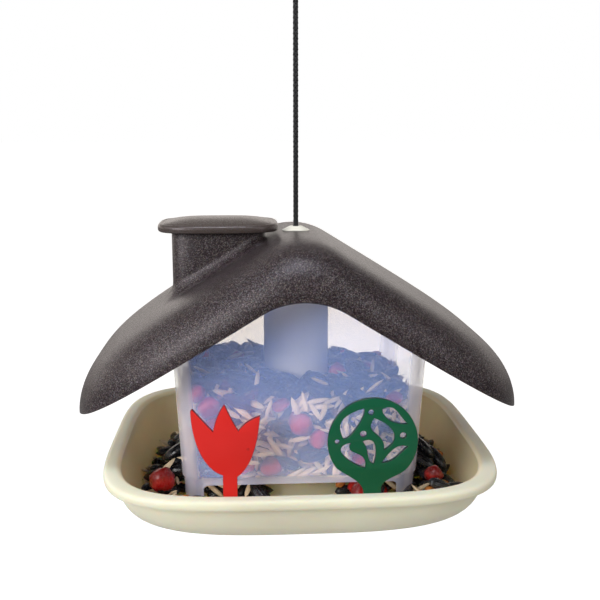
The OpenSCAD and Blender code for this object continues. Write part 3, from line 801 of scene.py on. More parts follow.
class FEEDER_OT_tray(Operator):
    """Makes the tray with its rolled rim, mound, spigot, sockets and corner curbs"""
    bl_idname = "feeder.tray"
    bl_label = "Make the tray"

    def execute(self, context):
        feeder = context.scene.feeder
        tray, orn = feeder.tray, feeder.ornaments
        bowl = self.bowl(tray)
        line = self.mound_line(tray, feeder.hopper.column, 0)
        fuse(bowl, skin("mound", [disc(tray.mound_width / 2, 1 * MM)] + [disc(r, z) for r, z in line]))
        spigot, base = feeder.hopper.column / 2 - 2.4 * MM, tray.mound_height
        fuse(bowl, skin("spigot", [disc(spigot, base - 1 * MM), disc(spigot, base + 3.6 * MM),
                                   disc(spigot - 0.4 * MM, base + 4 * MM)]))
        drill(bowl, spigot - tray.wall, base, base + 6 * MM)
        y = orn.inset - tray.depth / 2
        for x, stem in ((-orn.tulip_offset, orn.tulip_stem), (orn.tree_offset, orn.tree_trunk)):
            fuse(bowl, self.socket(tray, x, y, stem / 2 + PLAY, orn.thickness / 2 + PLAY))
        for qx in (-1, 1):
            for qy in (-1, 1):
                fuse(bowl, self.curb(feeder.hopper, qx, qy))
        under = self.mound_line(tray, feeder.hopper.column, tray.wall)
        fuse(bowl, skin("recess", [disc(tray.mound_width / 2 - 0.1 * MM, -1 * MM)]
                        + [disc(r - 0.1 * MM, z) for r, z in under]), "DIFFERENCE")
        drill(bowl, feeder.rope.diameter / 2 + 0.9 * MM, 0, tray.height, 30)
        ivory = smooth_plastic("ivory_plastic", tray.plastic, coat=0.05, dust_and_shade=tray.dust_and_shade, gloss=0.25)
        wear(bowl, ivory, "tray_body", "ivory_plastic", "tray")
        # A paler copy of the tray's ivory for the column and grommet: the paler tone is painted light
        # on them
        paler_ivory = smooth_plastic("ivory_clean", (0.95, 0.92, 0.80))
        for name in ("centre_column", "rope_grommet"):
            paint(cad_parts[name], paler_ivory)
        return {"FINISHED"}

    def bowl(self, tray):
        turns = even_turns(tray.width / 2, tray.depth / 2, RIM_SQUARE, 176)
        rim, top = tray.height - tray.lip_height, tray.height

        def edge(inset, z):
            return level(tray.width / 2 - inset * MM, tray.depth / 2 - inset * MM, RIM_SQUARE, z, turns)
        rings = [bowl_ring(tray, math.radians(a), 0, turns) for a in range(0, 91, 6)]
        rings += [edge(inset, rim + z * MM)
                  for inset, z in ((1.1, 0), (0.5, 0.2), (0.15, 0.7), (0, 1.6))]
        rings += [edge(inset, top - z * MM)
                  for inset, z in ((0.05, 2.2), (0.3, 1.2), (0.8, 0.5), (1.6, 0.12), (2.6, 0),
                                   (5.6, 0), (6.6, 0.08), (7.4, 0.35), (8.1, 0.85))]
        rings += [bowl_ring(tray, math.radians(a), tray.wall, turns) for a in range(90, -1, -6)]
        return skin("tray_bowl", rings)

    def mound_line(self, tray, column, drop):
        """The mound's section from its foot to its flat top, as radius and height."""
        p = [(tray.mound_width / 2, tray.wall), (tray.mound_width / 2 - 12 * MM, tray.wall),
             (column / 2 + 12 * MM, tray.mound_height), (column / 2 + 2 * MM, tray.mound_height)]
        line = []
        for i in range(17):
            t = i / 16
            weights = ((1 - t) ** 3, 3 * t * (1 - t) ** 2, 3 * t * t * (1 - t), t ** 3)
            line.append((sum(w * q[0] for w, q in zip(weights, p)),
                         sum(w * q[1] for w, q in zip(weights, p)) - drop))
        return line

    def socket(self, tray, x, y, half_w, half_d):
        wall, top, base = 2.2 * MM, tray.socket_height, tray.wall - 0.2 * MM

        def ring(w, d, radius, z):
            return at_height(rounded(w, d, radius, 2, 4) + (x, y), z)
        out_w, out_d = half_w + wall, half_d + wall
        return skin("socket", [
            ring(out_w, out_d, 1 * MM, base), ring(out_w, out_d, 1 * MM, top - 0.5 * MM),
            ring(out_w - 0.5 * MM, out_d - 0.5 * MM, 0.8 * MM, top),
            ring(half_w + 0.3 * MM, half_d + 0.3 * MM, 0.5 * MM, top),
            ring(half_w, half_d, 0.3 * MM, top - 0.3 * MM),
            ring(half_w, half_d, 0.3 * MM, tray.wall + 2 * MM)])

    def curb(self, hopper, qx, qy):
        outer = hopper.corner - hopper.wall - hopper.step_in - PLAY
        start = {(1, 1): 0, (-1, 1): 90, (-1, -1): 180, (1, -1): 270}[(qx, qy)]
        sweep = np.radians(start + np.linspace(0, 90, 13))
        mx, my = qx * (hopper.width / 2 - hopper.corner), qy * (hopper.depth / 2 - hopper.corner)
        arc = [(mx + r * math.cos(a), my + r * math.sin(a))
               for r, way in ((outer, 1), (outer - 1.6 * MM, -1)) for a in sweep[::way]]
        return skin("curb", [at_height(arc, z) for z in (1 * MM, 6 * MM)])


def gable(roof, x, peak):
    """Height of the gable's straight slopes with their rounded peak."""
    sharp = roof.hem_peak + roof.peak_round * (1 / math.cos(roof.pitch) - 1)
    ax = np.abs(x)
    bow = sharp - peak / math.cos(roof.pitch) + np.sqrt(np.maximum(peak ** 2 - ax ** 2, 0))
    return np.where(ax < peak * math.sin(roof.pitch), bow, sharp - ax * math.tan(roof.pitch))


def roof_height(roof, x, y, drop=0.0):
    """Height of the roof's outside, or of its underside where drop is the wall."""
    px = (np.abs(x) / (roof.width / 2 - drop)) ** ROOF_SQUARE
    out = px + (np.abs(y) / (roof.depth / 2 - drop)) ** ROOF_SQUARE
    fall = mix(GABLE_FALL, EAVE_FALL, px / np.maximum(out, 1e-6))
    swell = np.sqrt(np.maximum(0, 1 - out ** (fall / ROOF_SQUARE)))
    peak = mix(roof.peak_round, roof.ridge_round, swell)
    return gable(roof, x, peak) + (roof.crown - drop) * swell


class FEEDER_OT_roof(Operator):
    """Makes the gabled, swelling roof with its filling chimney and the grommet's seat"""
    bl_idname = "feeder.roof"
    bl_label = "Make the roof"

    def execute(self, context):
        feeder = context.scene.feeder
        roof, chimney = feeder.roof, feeder.chimney
        shell = self.shell(roof, chimney)
        ridge = float(roof_height(roof, np.array(0.0), np.array(0.0)))
        drill(shell, reach("rope_grommet", 0) / 2 + PLAY, ridge - 0.7 * MM, ridge + 9 * MM)
        drill(shell, 5.1 * MM, ridge - 20 * MM, ridge + 9 * MM, 40)
        plastic = grained_plastic("roof_plastic", roof.plastic, 0.38 * MM, 0.075 * MM, 0.18, 0.30, 0.42)
        wear(shell, plastic, "roof_body", "roof_plastic", "roof")
        return {"FINISHED"}

    def shell(self, roof, chimney):
        """Rings from the hem over the chimney's mouth and back down the underside."""
        turns = even_turns(roof.width / 2, roof.depth / 2, ROOF_SQUARE, 208)

        def stack(x, y, z):
            return np.stack([x, y, np.broadcast_to(z, x.shape)], 1)

        def hem(inset):
            return np.array(around(roof.width / 2 - inset, roof.depth / 2 - inset, ROOF_SQUARE, turns))

        def mouth(inset):
            x, y = around(chimney.width / 2 - inset, chimney.depth / 2 - inset, CHIMNEY_SQUARE, turns)
            return np.array([x - chimney.offset, y])
        base = mouth(0)
        hollow = np.minimum(chimney.fillet,
                            chimney.top - 0.8 * MM - roof_height(roof, base[0], base[1]))
        rings = []
        for k in range(OVER_STEPS):
            x, y = mix(hem(0), mouth(-hollow), (k / OVER_STEPS) ** CLOSER)
            rings.append(stack(x, y, roof_height(roof, x, y)))
        for a in np.radians(np.linspace(0, 90, 13)):
            x, y = mouth(-hollow * (1 - math.sin(a)))
            rings.append(stack(x, y, roof_height(roof, x, y) + hollow * (1 - math.cos(a))))
        for inset, z in ((0, -0.4), (0.12, -0.12), (0.4, 0), (1.8, 0), (2.08, -0.12), (2.2, -0.4)):
            x, y = mouth(inset * MM)
            rings.append(stack(x, y, chimney.top + z * MM))
        for k in range(UNDER_STEPS, -1, -1):
            x, y = mix(hem(roof.wall), mouth(roof.wall), (k / UNDER_STEPS) ** CLOSER)
            rings.append(stack(x, y, roof_height(roof, x, y, roof.wall)))
        # The hem's edge is rounded where the moulding parts
        for inset, z in ((1.8, -0.45), (1.1, -0.6), (0.4, -0.45)):
            x, y = hem(inset * MM)
            rings.append(stack(x, y, gable(roof, x, roof.peak_round) + z * MM))
        return skin("roof_shell", rings, True, 32)


class FEEDER_OT_lid(Operator):
    """Makes the chimney's lift-off lid with its plug"""
    bl_idname = "feeder.lid"
    bl_label = "Make the lid"

    def execute(self, context):
        chimney = context.scene.feeder.chimney
        lift = chimney.top + 0.3 * MM
        turns = even_turns(chimney.lid_width / 2, chimney.lid_depth / 2, LID_SQUARE, 144)
        rim = chimney.lid_rim / MM

        def ring(width, depth, square, inset, z):
            return level(width / 2 - inset * MM, depth / 2 - inset * MM, square, lift + z * MM,
                         turns, -chimney.offset)

        def edge(inset, z):
            return ring(chimney.lid_width, chimney.lid_depth, LID_SQUARE, inset, z)

        def plug(inset, z):
            return ring(chimney.width, chimney.depth, CHIMNEY_SQUARE, inset, z)
        deep = chimney.plug / MM
        rings = [plug(4.4, 1.2), plug(4.4, 0.4 - deep), plug(4.1, -deep), plug(2.9, -deep),
                 plug(2.6, 0.4 - deep), plug(2.6, 0), edge(1.4, 0), edge(0.7, 0.12),
                 edge(0.25, 0.5), edge(0, 1.3), edge(0, rim - 1.7), edge(0.2, rim - 0.9),
                 edge(0.65, rim - 0.35), edge(1.3, rim - 0.08), edge(2, rim), edge(2.35, rim - 0.22),
                 edge(2.75, rim - 0.22), edge(3.2, rim + 0.05)]
        for k in range(1, 13):
            part = k / 12
            inset = mix(3.2, 25, part)
            rings.append(edge(inset, rim + 0.05 + (chimney.lid_dome / MM - 0.05)
                              * (1 - (1 - part) ** 2.2)))
        lid = skin("chimney_cap", rings, False, 30)
        plastic = grained_plastic("lid_plastic", chimney.lid_plastic, 0.42 * MM, 0.05 * MM, 0.09, 0.28)
        wear(lid, plastic, "lid_body", "lid_plastic", "chimney_lid")
        return {"FINISHED"}


def hopper_outline(hopper, z, inset):
    """The hopper's rounded outline at one height, drawn in by inset."""
    lean = (z - HOPPER_FOOT) * hopper.draft - inset
    return rounded(hopper.width / 2 + lean, hopper.depth / 2 + lean, hopper.corner - inset, 18, 8)


class FEEDER_OT_hopper(Operator):
    """Makes the milky hopper with its step line and four feeding openings"""
    bl_idname = "feeder.hopper"
    bl_label = "Make the hopper"

    def execute(self, context):
        feeder = context.scene.feeder
        hopper = feeder.hopper
        walls = self.walls(hopper, feeder.roof)
        for width, run, turn in ((hopper.slot_width, hopper.depth, 0),
                                 (hopper.side_slot_width, hopper.width, 90)):
            fuse(walls, self.slot(hopper, width, run, turn), "DIFFERENCE", 40)
        wear(walls, milky_plastic("frosted_plastic", hopper), "hopper_body", "frosted_plastic",
             "hopper")
        return {"FINISHED"}

    def walls(self, hopper, roof):
        foot, foot_in = HOPPER_FOOT, hopper.step_in + hopper.wall
        low, high = hopper.step_height - 0.5 * MM, hopper.step_height + 0.5 * MM

        def ring(z, inset):
            return at_height(hopper_outline(hopper, z, inset), z)

        def top(inset, below):
            guess = 120 * MM
            flat = hopper_outline(hopper, guess, inset)
            z = roof_height(roof, flat[:, 0], flat[:, 1], roof.wall) - SEAT_GAP - below
            more = ((z - guess) * hopper.draft)[:, None]
            span = np.array([hopper.width, hopper.depth])
            flat = flat + np.sign(flat) * more * np.minimum(1, np.abs(flat) / span * 2)
            return np.column_stack([flat, z])
        inner = hopper.wall
        rings = [ring(foot + 0.3 * MM, hopper.step_in), ring(low, hopper.step_in),
                 ring(low + 0.3 * MM, hopper.step_in * 0.85),
                 ring(high - 0.3 * MM, hopper.step_in * 0.15), ring(high, 0), ring(45 * MM, 0),
                 ring(70 * MM, 0), top(0, 22 * MM), top(0, 0.25 * MM), top(0.25 * MM, 0),
                 top(inner - 0.25 * MM, 0), top(inner, 0.25 * MM), top(inner, 22 * MM),
                 ring(70 * MM, inner), ring(45 * MM, inner), ring(high, inner),
                 ring(low, foot_in), ring(foot + 0.3 * MM, foot_in),
                 ring(foot, foot_in - 0.3 * MM), ring(foot, hopper.step_in + 0.3 * MM)]
        return skin("hopper_walls", rings, True, 40)

    def slot(self, hopper, width, run, turn):
        """A cutter with rounded upper corners, straight through two walls."""
        r, top, half = 2.5 * MM, hopper.slot_top, width / 2
        corner = np.radians(np.linspace(0, 90, 9))
        line = [(half, 0)] + [(half - r + r * math.cos(a), top - r + r * math.sin(a)) for a in corner]
        line += [(-x, z) for x, z in line[::-1]]
        turn_by = Matrix.Rotation(math.radians(turn), 3, "Z")
        rings = [np.array([turn_by @ Vector((x, y, z)) for x, z in line]) for y in (-run, run)]
        return skin("slot", rings)


def bezier(points, steps):
    """Points of a cubic curve from its start up to, but not at, its end."""
    p, q, r, s = (Vector(point) for point in points)
    line = []
    for i in range(steps):
        t = i / steps
        line.append(p * (1 - t) ** 3 + q * 3 * t * (1 - t) ** 2 + r * 3 * t * t * (1 - t) + s * t ** 3)
    return line


def through(start, first, second, end, steps):
    """A curve that passes through two points at a third and two thirds of its way."""
    p, q, r, s = (Vector(point) for point in (start, first, second, end))
    return bezier([p, (-5 * p + 18 * q - 9 * r + 2 * s) / 6, (2 * p - 9 * q + 18 * r - 5 * s) / 6,
                   s], steps)


def plate(name, outlines, thickness, edge, x, y):
    """A flat moulded plate with rounded edges, upright, filled between its outlines."""
    sketch = bpy.data.curves.new(name, "CURVE")
    sketch.dimensions, sketch.fill_mode = "2D", "BOTH"
    sketch.extrude, sketch.bevel_depth = thickness / 2 - edge, edge
    sketch.bevel_resolution, sketch.offset = 3, -edge
    for outline in outlines:
        spline = sketch.splines.new("POLY")
        spline.points.add(len(outline) - 1)
        for point, place in zip(spline.points, outline):
            point.co = (place[0], place[1], 0, 1)
        spline.use_cyclic_u = True
    drawn = piece_of(name + "_sketch", sketch)
    view = bpy.context.evaluated_depsgraph_get()
    mesh = bpy.data.meshes.new_from_object(drawn.evaluated_get(view))
    bpy.data.objects.remove(drawn)
    bpy.data.curves.remove(sketch)
    mesh.name = name
    mesh.transform(Matrix.Translation((x, y, -HANG)) @ Matrix.Rotation(math.pi / 2, 4, "X"))
    mesh.materials.clear()
    tidy_mesh(mesh, 50, 0.004 * MM)
    return piece_of(name, mesh)


# The tree's openings in shares of the crown's radius: tip, two points, tip, two points back
TREE_LEAVES = (
    ((-0.211, 0.772), (-0.625, 0.569), (-0.728, 0.345), (-0.659, 0.091), (-0.47, 0.19),
     (-0.259, 0.513)),
    ((0.198, 0.746), (0.427, 0.767), (0.582, 0.612), (0.759, 0.401), (0.47, 0.435),
     (0.272, 0.569)),
    ((0.022, 0.543), (-0.022, 0.272), (0.164, 0.091), (0.241, -0.198), (0.478, 0.065),
     (0.358, 0.336)),
    ((-0.487, -0.009), (-0.707, -0.19), (-0.5, -0.435), (-0.164, -0.603), (-0.259, -0.315),
     (-0.47, -0.207)),
    ((-0.241, 0.013), (-0.134, -0.164), (-0.091, -0.375), (0.022, -0.513), (0.065, -0.302),
     (0.022, -0.022)),
    ((0.78, -0.125), (0.569, -0.116), (0.388, -0.246), (0.198, -0.487), (0.414, -0.444),
     (0.595, -0.302)))
# Its round openings: x, height and radius
TREE_HOLES = ((-0.05, 0.68, 0.06), (-0.215, 0.185, 0.073), (0.668, 0.134, 0.073), (-0.79, 0.02, 0.052))
TANG_FOOT = 4.7 * MM


class FEEDER_OT_tulip(Operator):
    """Makes the flat red tulip that plugs into the tray's front left"""
    bl_idname = "feeder.tulip"
    bl_label = "Make the tulip"

    def execute(self, context):
        feeder = context.scene.feeder
        orn = feeder.ornaments
        y = orn.inset - feeder.tray.depth / 2
        tulip = plate("tulip", [self.outline(orn)], orn.thickness, orn.bevel, -orn.tulip_offset, y)
        # The mark that the mould's pin leaves on the face
        pin = np.array(rounded(0.7 * MM, 0.7 * MM, 0.68 * MM, 1, 8))
        red = smooth_plastic("red_plastic", orn.red, 0.40, 0.0, 0.05, gloss=0.25, painted_edge_shade=0.3)
        wear(tulip, red, "tulip_body", "red_plastic", "tulip_ornament")
        front = y - orn.thickness / 2
        rings = [np.column_stack([-orn.tulip_offset + 9.2 * MM + pin[:, 0] * s,
                                  np.full(len(pin), front - out * MM), 45.6 * MM + pin[:, 1] * s])
                 for s, out in ((1, -0.1), (1, 0.0), (0.8, 0.12), (0.45, 0.13), (0.3, 0.02))]
        mark = skin("tulip_pin_mark", rings)
        wear(mark, red, "tulip_body", "red_plastic")
        return {"FINISHED"}

    def outline(self, orn):
        def petal(x, up):
            return (x * orn.tulip_width, mix(orn.tulip_neck, orn.tulip_top, up))
        half = orn.tulip_stem / 2
        shoulder = (half, orn.tulip_neck - 1 * MM)
        tip_left, tip_mid, tip_right = petal(-0.53, 0.94), petal(-0.069, 1), petal(0.443, 0.83)
        dip_left, dip_right = petal(-0.237, 0.62), petal(0.128, 0.627)
        side = petal(-0.557, 0.907)
        line = [(half, TANG_FOOT)]
        line += bezier([shoulder, petal(0.3, 0.11), petal(0.4, 0.38), tip_right], 28)
        line += bezier([tip_right, petal(0.289, 0.78), petal(0.206, 0.725), dip_right], 12)
        line += bezier([dip_right, petal(0.046, 0.752), petal(0, 0.859), tip_mid], 10)
        line += bezier([tip_mid, petal(-0.149, 0.899), petal(-0.203, 0.779), dip_left], 10)
        line += [dip_left, tip_left]
        line += bezier([side, petal(-0.54, 0.432), petal(-0.363, 0.085), (-half, orn.tulip_neck)], 32)
        return line + [(-half, orn.tulip_neck), (-half, TANG_FOOT)]


class FEEDER_OT_tree(Operator):
    """Makes the flat green tree with its leaf-shaped openings"""
    bl_idname = "feeder.tree"
    bl_label = "Make the tree"

    def execute(self, context):
        feeder = context.scene.feeder
        orn = feeder.ornaments
        r, up = orn.crown_radius, Vector((0, orn.crown_height))
        outlines = [self.outline(orn)]
        for leaf in TREE_LEAVES:
            line = through(*leaf[:4], 14) + through(leaf[3], leaf[4], leaf[5], leaf[0], 14)
            outlines.append([up + r * p for p in line][::-1])
        for x, z, size in TREE_HOLES:
            outlines.append([up + r * (Vector((x, z)) + size * Vector((math.cos(a), -math.sin(a))))
                             for a in np.linspace(0, 2 * math.pi, 28, endpoint=False)])
        tree = plate("tree", outlines, orn.thickness, orn.bevel, orn.tree_offset,
                     orn.inset - feeder.tray.depth / 2)
        green = smooth_plastic("green_plastic", orn.green, 0.34, 0.0, 0.06, gloss=0.4, painted_edge_shade=0.35)
        wear(tree, green, "tree_body", "green_plastic", "tree_ornament")
        return {"FINISHED"}

    def outline(self, orn):
        r, up, half = orn.crown_radius, orn.crown_height, orn.tree_trunk / 2

        def on(x, z):
            return (x * r, up + z * r)

        def rim(degrees):
            return on(math.cos(math.radians(degrees)), math.sin(math.radians(degrees)))
        line = [(half, TANG_FOOT)]
        line += bezier([(half, up - 1.12 * r), (half, up - 0.86 * r), on(0.56, -0.84), rim(-40)], 20)
        line += [rim(a) for a in range(-38, 215, 3)]
        line += bezier([rim(216), on(-0.60, -0.78), (-half, up - 0.90 * r), (-half, up - 1.2 * r)], 20)
        return line + [(-half, up - 1.2 * r), (-half, TANG_FOOT)]


# Seed

def seed_form(kind):
    """One seed of length 1 along x: its points, its faces and each corner's place on its skin."""
    long_steps, turns = {"oat": (7, 6), "berry": (9, 12), "sunflower": (9, 10)}.get(kind, (7, 8))
    points = [(-0.5, 0, 0)]
    for i in range(1, long_steps):
        t = i / long_steps
        for j in range(turns):
            a = 2 * math.pi * j / turns
            c, s = math.cos(a), math.sin(a)
            swell, dent = 1.0, 1.0
            if kind == "sunflower":
                wide = math.sin(math.pi * t ** 0.78) ** 0.66
                dent = 1 - 0.18 * abs(c)
            elif kind == "oat":
                wide = math.sin(math.pi * t ** 0.88) ** 0.62
                dent = 0.75 if j == 2 else 1.0
            elif kind == "berry":
                wide = math.sqrt(1 - (2 * t - 1) ** 2)
                swell = 1 + 0.12 * math.sin(3 * a + 5 * t) + 0.07 * math.sin(5 * a - 9 * t)
            else:
                wide = min(1.0, 3.2 * t, 3.0 * (1 - t)) * (1 - 0.3 * t)
                swell = (abs(c) ** 4 + abs(s) ** 4) ** -0.25
                dent = 1 - 0.25 * (j % 3 == 0)
            points.append((t - 0.5, 0.5 * wide * c * swell, 0.5 * wide * s * swell * dent))
    points.append((0.5, 0, 0))
    faces, places = [], []
    last = len(points) - 1
    for j in range(turns):
        k, u, w = (j + 1) % turns, j / turns, (j + 1) / turns
        faces.append((0, 1 + k, 1 + j))
        places.append(((0, u), (1 / long_steps, w), (1 / long_steps, u)))
        for i in range(long_steps - 2):
            low, high = 1 + i * turns, 1 + (i + 1) * turns
            faces.append((low + j, low + k, high + k, high + j))
            a, b = (i + 1) / long_steps, (i + 2) / long_steps
            places.append(((a, u), (a, w), (b, w), (b, u)))
        end = 1 + (long_steps - 2) * turns
        faces.append((end + j, end + k, last))
        places.append(((1 - 1 / long_steps, u), (1 - 1 / long_steps, w), (1, u)))
    return np.array(points), faces, places


# Width and thickness of each kind in shares of its length
SEED_SHAPES = {"sunflower": (0.45, 0.31), "oat": (0.23, 0.18), "berry": (0.92, 0.68),
               "corn": (0.85, 0.6)}


# A seed rests where this many parts in 100 of what is under it lie lower
REST = 72
# The steepest lean of a seed, as rise over run
STEEPEST = 0.8
# How far the middle of a seed stays off a wall
SEED_GAP = 0.8 * MM
# Where the seed in the hopper begins
SEED_START = 16 * MM


class Heap:
    """Seed that has come to rest: a grid of how high it lies over a patch, and each seed in it."""

    def __init__(self, draw, low, high, ground, allowed):
        step = 1.0 * MM
        self.low, self.step, self.draw, self.seeds = np.array(low), step, draw, []
        nx, ny = (int((h - l) / step) + 1 for l, h in zip(low, high))
        self.u = low[0] + step * np.arange(nx)[:, None] + np.zeros((nx, ny))
        self.v = low[1] + step * np.arange(ny)[None, :] + np.zeros((nx, ny))
        self.height = ground(self.u, self.v)
        self.base = self.height.copy()
        self.free = allowed(self.u, self.v)

    def land(self, kind, u, v, length, turn, most=None, tilt=12):
        """Lays one seed on what lies at u, v, if it fits there; most is the highest it may reach."""
        wide, thick = (length * share_of for share_of in SEED_SHAPES[kind])
        half = length / 2
        i0, j0 = ((np.array((u - half, v - half)) - self.low) / self.step).astype(int)
        i1, j1 = ((np.array((u + half, v + half)) - self.low) / self.step).astype(int) + 2
        if i0 < 0 or j0 < 0 or i1 > self.height.shape[0] or j1 > self.height.shape[1]:
            return False
        du, dv = self.u[i0:i1, j0:j1] - u, self.v[i0:i1, j0:j1] - v
        along = (du * math.cos(turn) + dv * math.sin(turn)) / half
        across = (dv * math.cos(turn) - du * math.sin(turn)) / (wide / 2)
        round_ = along ** 2 + across ** 2
        under = round_ < 1
        if under.sum() < 3 or not self.free[i0:i1, j0:j1][round_ < 1.1].all():
            return False
        patch = self.height[i0:i1, j0:j1]
        rest = float(np.percentile(patch[under], REST))
        if most is not None and rest + thick * 0.75 > most(u, v):
            return False
        # A seed leans with what it lies on
        rise = patch[under] - patch[under].mean()
        slope_a, slope_b = (
            float(np.clip(np.dot(way, rise) / max(np.dot(way, way), 1e-12), -STEEPEST, STEEPEST))
            for way in (along[under] * half, across[under] * wide / 2))
        top = rest + thick * (0.5 + 0.5 * np.sqrt(np.maximum(0, 1 - round_[under])))
        patch[under] = np.maximum(patch[under], top - thick * 0.12)
        lean = math.radians(self.draw.gauss(0, tilt))
        self.seeds.append((kind, u, v, rest + thick * 0.42, length, turn, slope_a, slope_b + lean))
        return True


def seed_mesh(name, kind, heap, draw, place_of):
    """One mesh of all the seeds of a kind; place_of turns a heap's u, v and rise into a place."""
    rests = [seed for seed in heap.seeds if seed[0] == kind]
    last = np.array(heap.base.shape) - 1
    points, faces, places = seed_form(kind)
    wide, thick = SEED_SHAPES[kind]
    verts, tones = [], []
    for _, u, v, rise, length, turn, slope_a, slope_b in rests:
        size = length * np.array((1, wide * draw.uniform(0.86, 1.12), thick * draw.uniform(0.85, 1.15)))
        spin = (Matrix.Rotation(turn, 3, "Z") @ Matrix.Rotation(-math.atan(slope_a), 3, "Y")
                @ Matrix.Rotation(math.atan(slope_b), 3, "X"))
        if draw.random() < 0.5:
            spin = spin @ Matrix.Rotation(math.pi, 3, "X")
        if kind in ("berry", "corn"):
            spin = spin @ Matrix.Rotation(draw.uniform(0, 6.28), 3, "X")
        local = (points * size) @ np.array(spin).T + (u, v, rise)
        # No seed goes into the wall or floor that it lies on
        cell = np.clip(((local[:, :2] - heap.low) / heap.step + 0.5).astype(int), 0, last)
        local[:, 2] = np.maximum(local[:, 2], heap.base[cell[:, 0], cell[:, 1]] + 0.1 * MM)
        verts.append(place_of(local))
        tones.append(draw.random())
    count = len(points)
    all_faces = [tuple(i * count + k for k in face) for i in range(len(verts)) for face in faces]
    flat = np.array([uv for corner in places for uv in corner], float)
    made = solid(name, np.concatenate(verts), all_faces, 70, np.tile(flat, (len(verts), 1)))
    tone = made.data.attributes.new("tone", "FLOAT", "POINT")
    tone.data.foreach_set("value", np.repeat(np.array(tones), count))
    return made


# Seeds laid first against the front wall: kind, place across and height in mm, turn, size
FRONT_SEEDS = (
    ("berry", -49, 59, 0.4, 1.15), ("berry", -55.5, 67, 1.0, 0.95), ("berry", 6, 68, 0.2, 1.0),
    ("berry", 18.5, 70, 0.9, 1.1), ("berry", 0, 48.5, 0.5, 1.2), ("berry", 10, 40, 1.2, 1.05),
    ("berry", -16, 24, 0.3, 1.1), ("berry", 50, 62, 0.3, 1.0), ("berry", 33, 29, 0.8, 0.9),
    ("sunflower", -23, 68, 0.35, 1.25), ("sunflower", -10, 47, 2.6, 1.1),
    ("sunflower", 8, 31, 0.2, 1.1), ("sunflower", -8, 27, 2.9, 1.0),
    ("sunflower", -46, 22, 0.1, 1.1), ("sunflower", -55, 30, 1.7, 1.0),
    ("sunflower", -56, 44, 1.4, 1.1), ("sunflower", -34, 63, 2.7, 1.0),
    ("sunflower", 38, 62, 0.5, 1.1), ("sunflower", 27, 60, 2.4, 1.0),
    ("oat", -40, 66, 2.7, 1.3), ("oat", -31, 57, 2.5, 1.2), ("oat", -26, 61, 2.8, 1.2),
    ("oat", 2, 62, 1.8, 1.0), ("oat", -3, 59, 1.9, 1.1), ("oat", -25, 50, 2.7, 1.1),
    ("oat", 0, 41, 0.1, 1.1), ("oat", -14, 37, 2.2, 1.1), ("oat", -12, 32, 2.5, 1.2))


# A few loose seeds in the tray, in front of the opening: kind, place to the right and back, turn
LOOSE_SEEDS = (
    ("sunflower", -30, -54, 0.1), ("sunflower", 24, -56, 0.3), ("corn", 38, -50, 0.4),
    ("berry", 33, -50, 0.5), ("oat", -50, -55, 0.4), ("oat", -44, -52, 2.2),
    ("sunflower", -54, -52, 0.6), ("oat", 47, -55, 2.0), ("oat", 51, -53, 0.8),
    ("sunflower", 56, -56, 1.0), ("oat", 4, -58, 0.2), ("corn", -56, -58, 1.2))


# Seeds laid last on the piles in the tray: kind, place to the right and back in mm, turn, size
PILE_SEEDS = (
    ("sunflower", -69, -14, 0.15, 1.22), ("sunflower", -66, 8, -0.2, 1.1),
    ("sunflower", -67, -27, -0.35, 1.0), ("berry", -75, -42, 0.3, 1.25),
    ("oat", -74, -29, 0.5, 1.15), ("oat", -65, -37, 1.1, 1.0), ("oat", -66, -33, 1.9, 1.0),
    ("corn", -66, -46, 0.5, 1.1), ("sunflower", -76, -55, 0.1, 1.05), ("oat", -70, -58, 0.9, 1.1),
    ("corn", -62, -59, 1.0, 1.1), ("oat", -66, 18, 0.2, 1.1),
    ("corn", 67, -2, 0.4, 1.25), ("sunflower", 74, 2, 2.5, 1.0), ("sunflower", 70, 14, 0.3, 1.05),
    ("oat", 82, -10, 2.2, 1.1), ("oat", 79, -14, 1.9, 1.1), ("oat", 66, -12, 0.4, 1.0),
    ("sunflower", 72, -20, 2.4, 1.15), ("sunflower", 80, -22, 2.1, 1.1),
    ("berry", 73, -45, 0.2, 0.92), ("sunflower", 67, -32, 0.5, 1.0),
    ("sunflower", 82, -36, 2.6, 1.0), ("oat", 66, -51, 0.3, 0.95), ("oat", 63, -57, 2.6, 0.95),
    ("corn", 69, -56, 0.4, 0.9), ("oat", 74, -10, 0.3, 1.0), ("corn", 84, -8, 0.9, 1.0),
    ("corn", 79, -47, 0.8, 1.0), ("sunflower", 84, -50, 0.3, 1.1),
    ("sunflower", 75, -56, 0.1, 1.0))


def within(u, v, half_u, half_v):
    return (np.abs(u) < half_u) & (np.abs(v) < half_v)


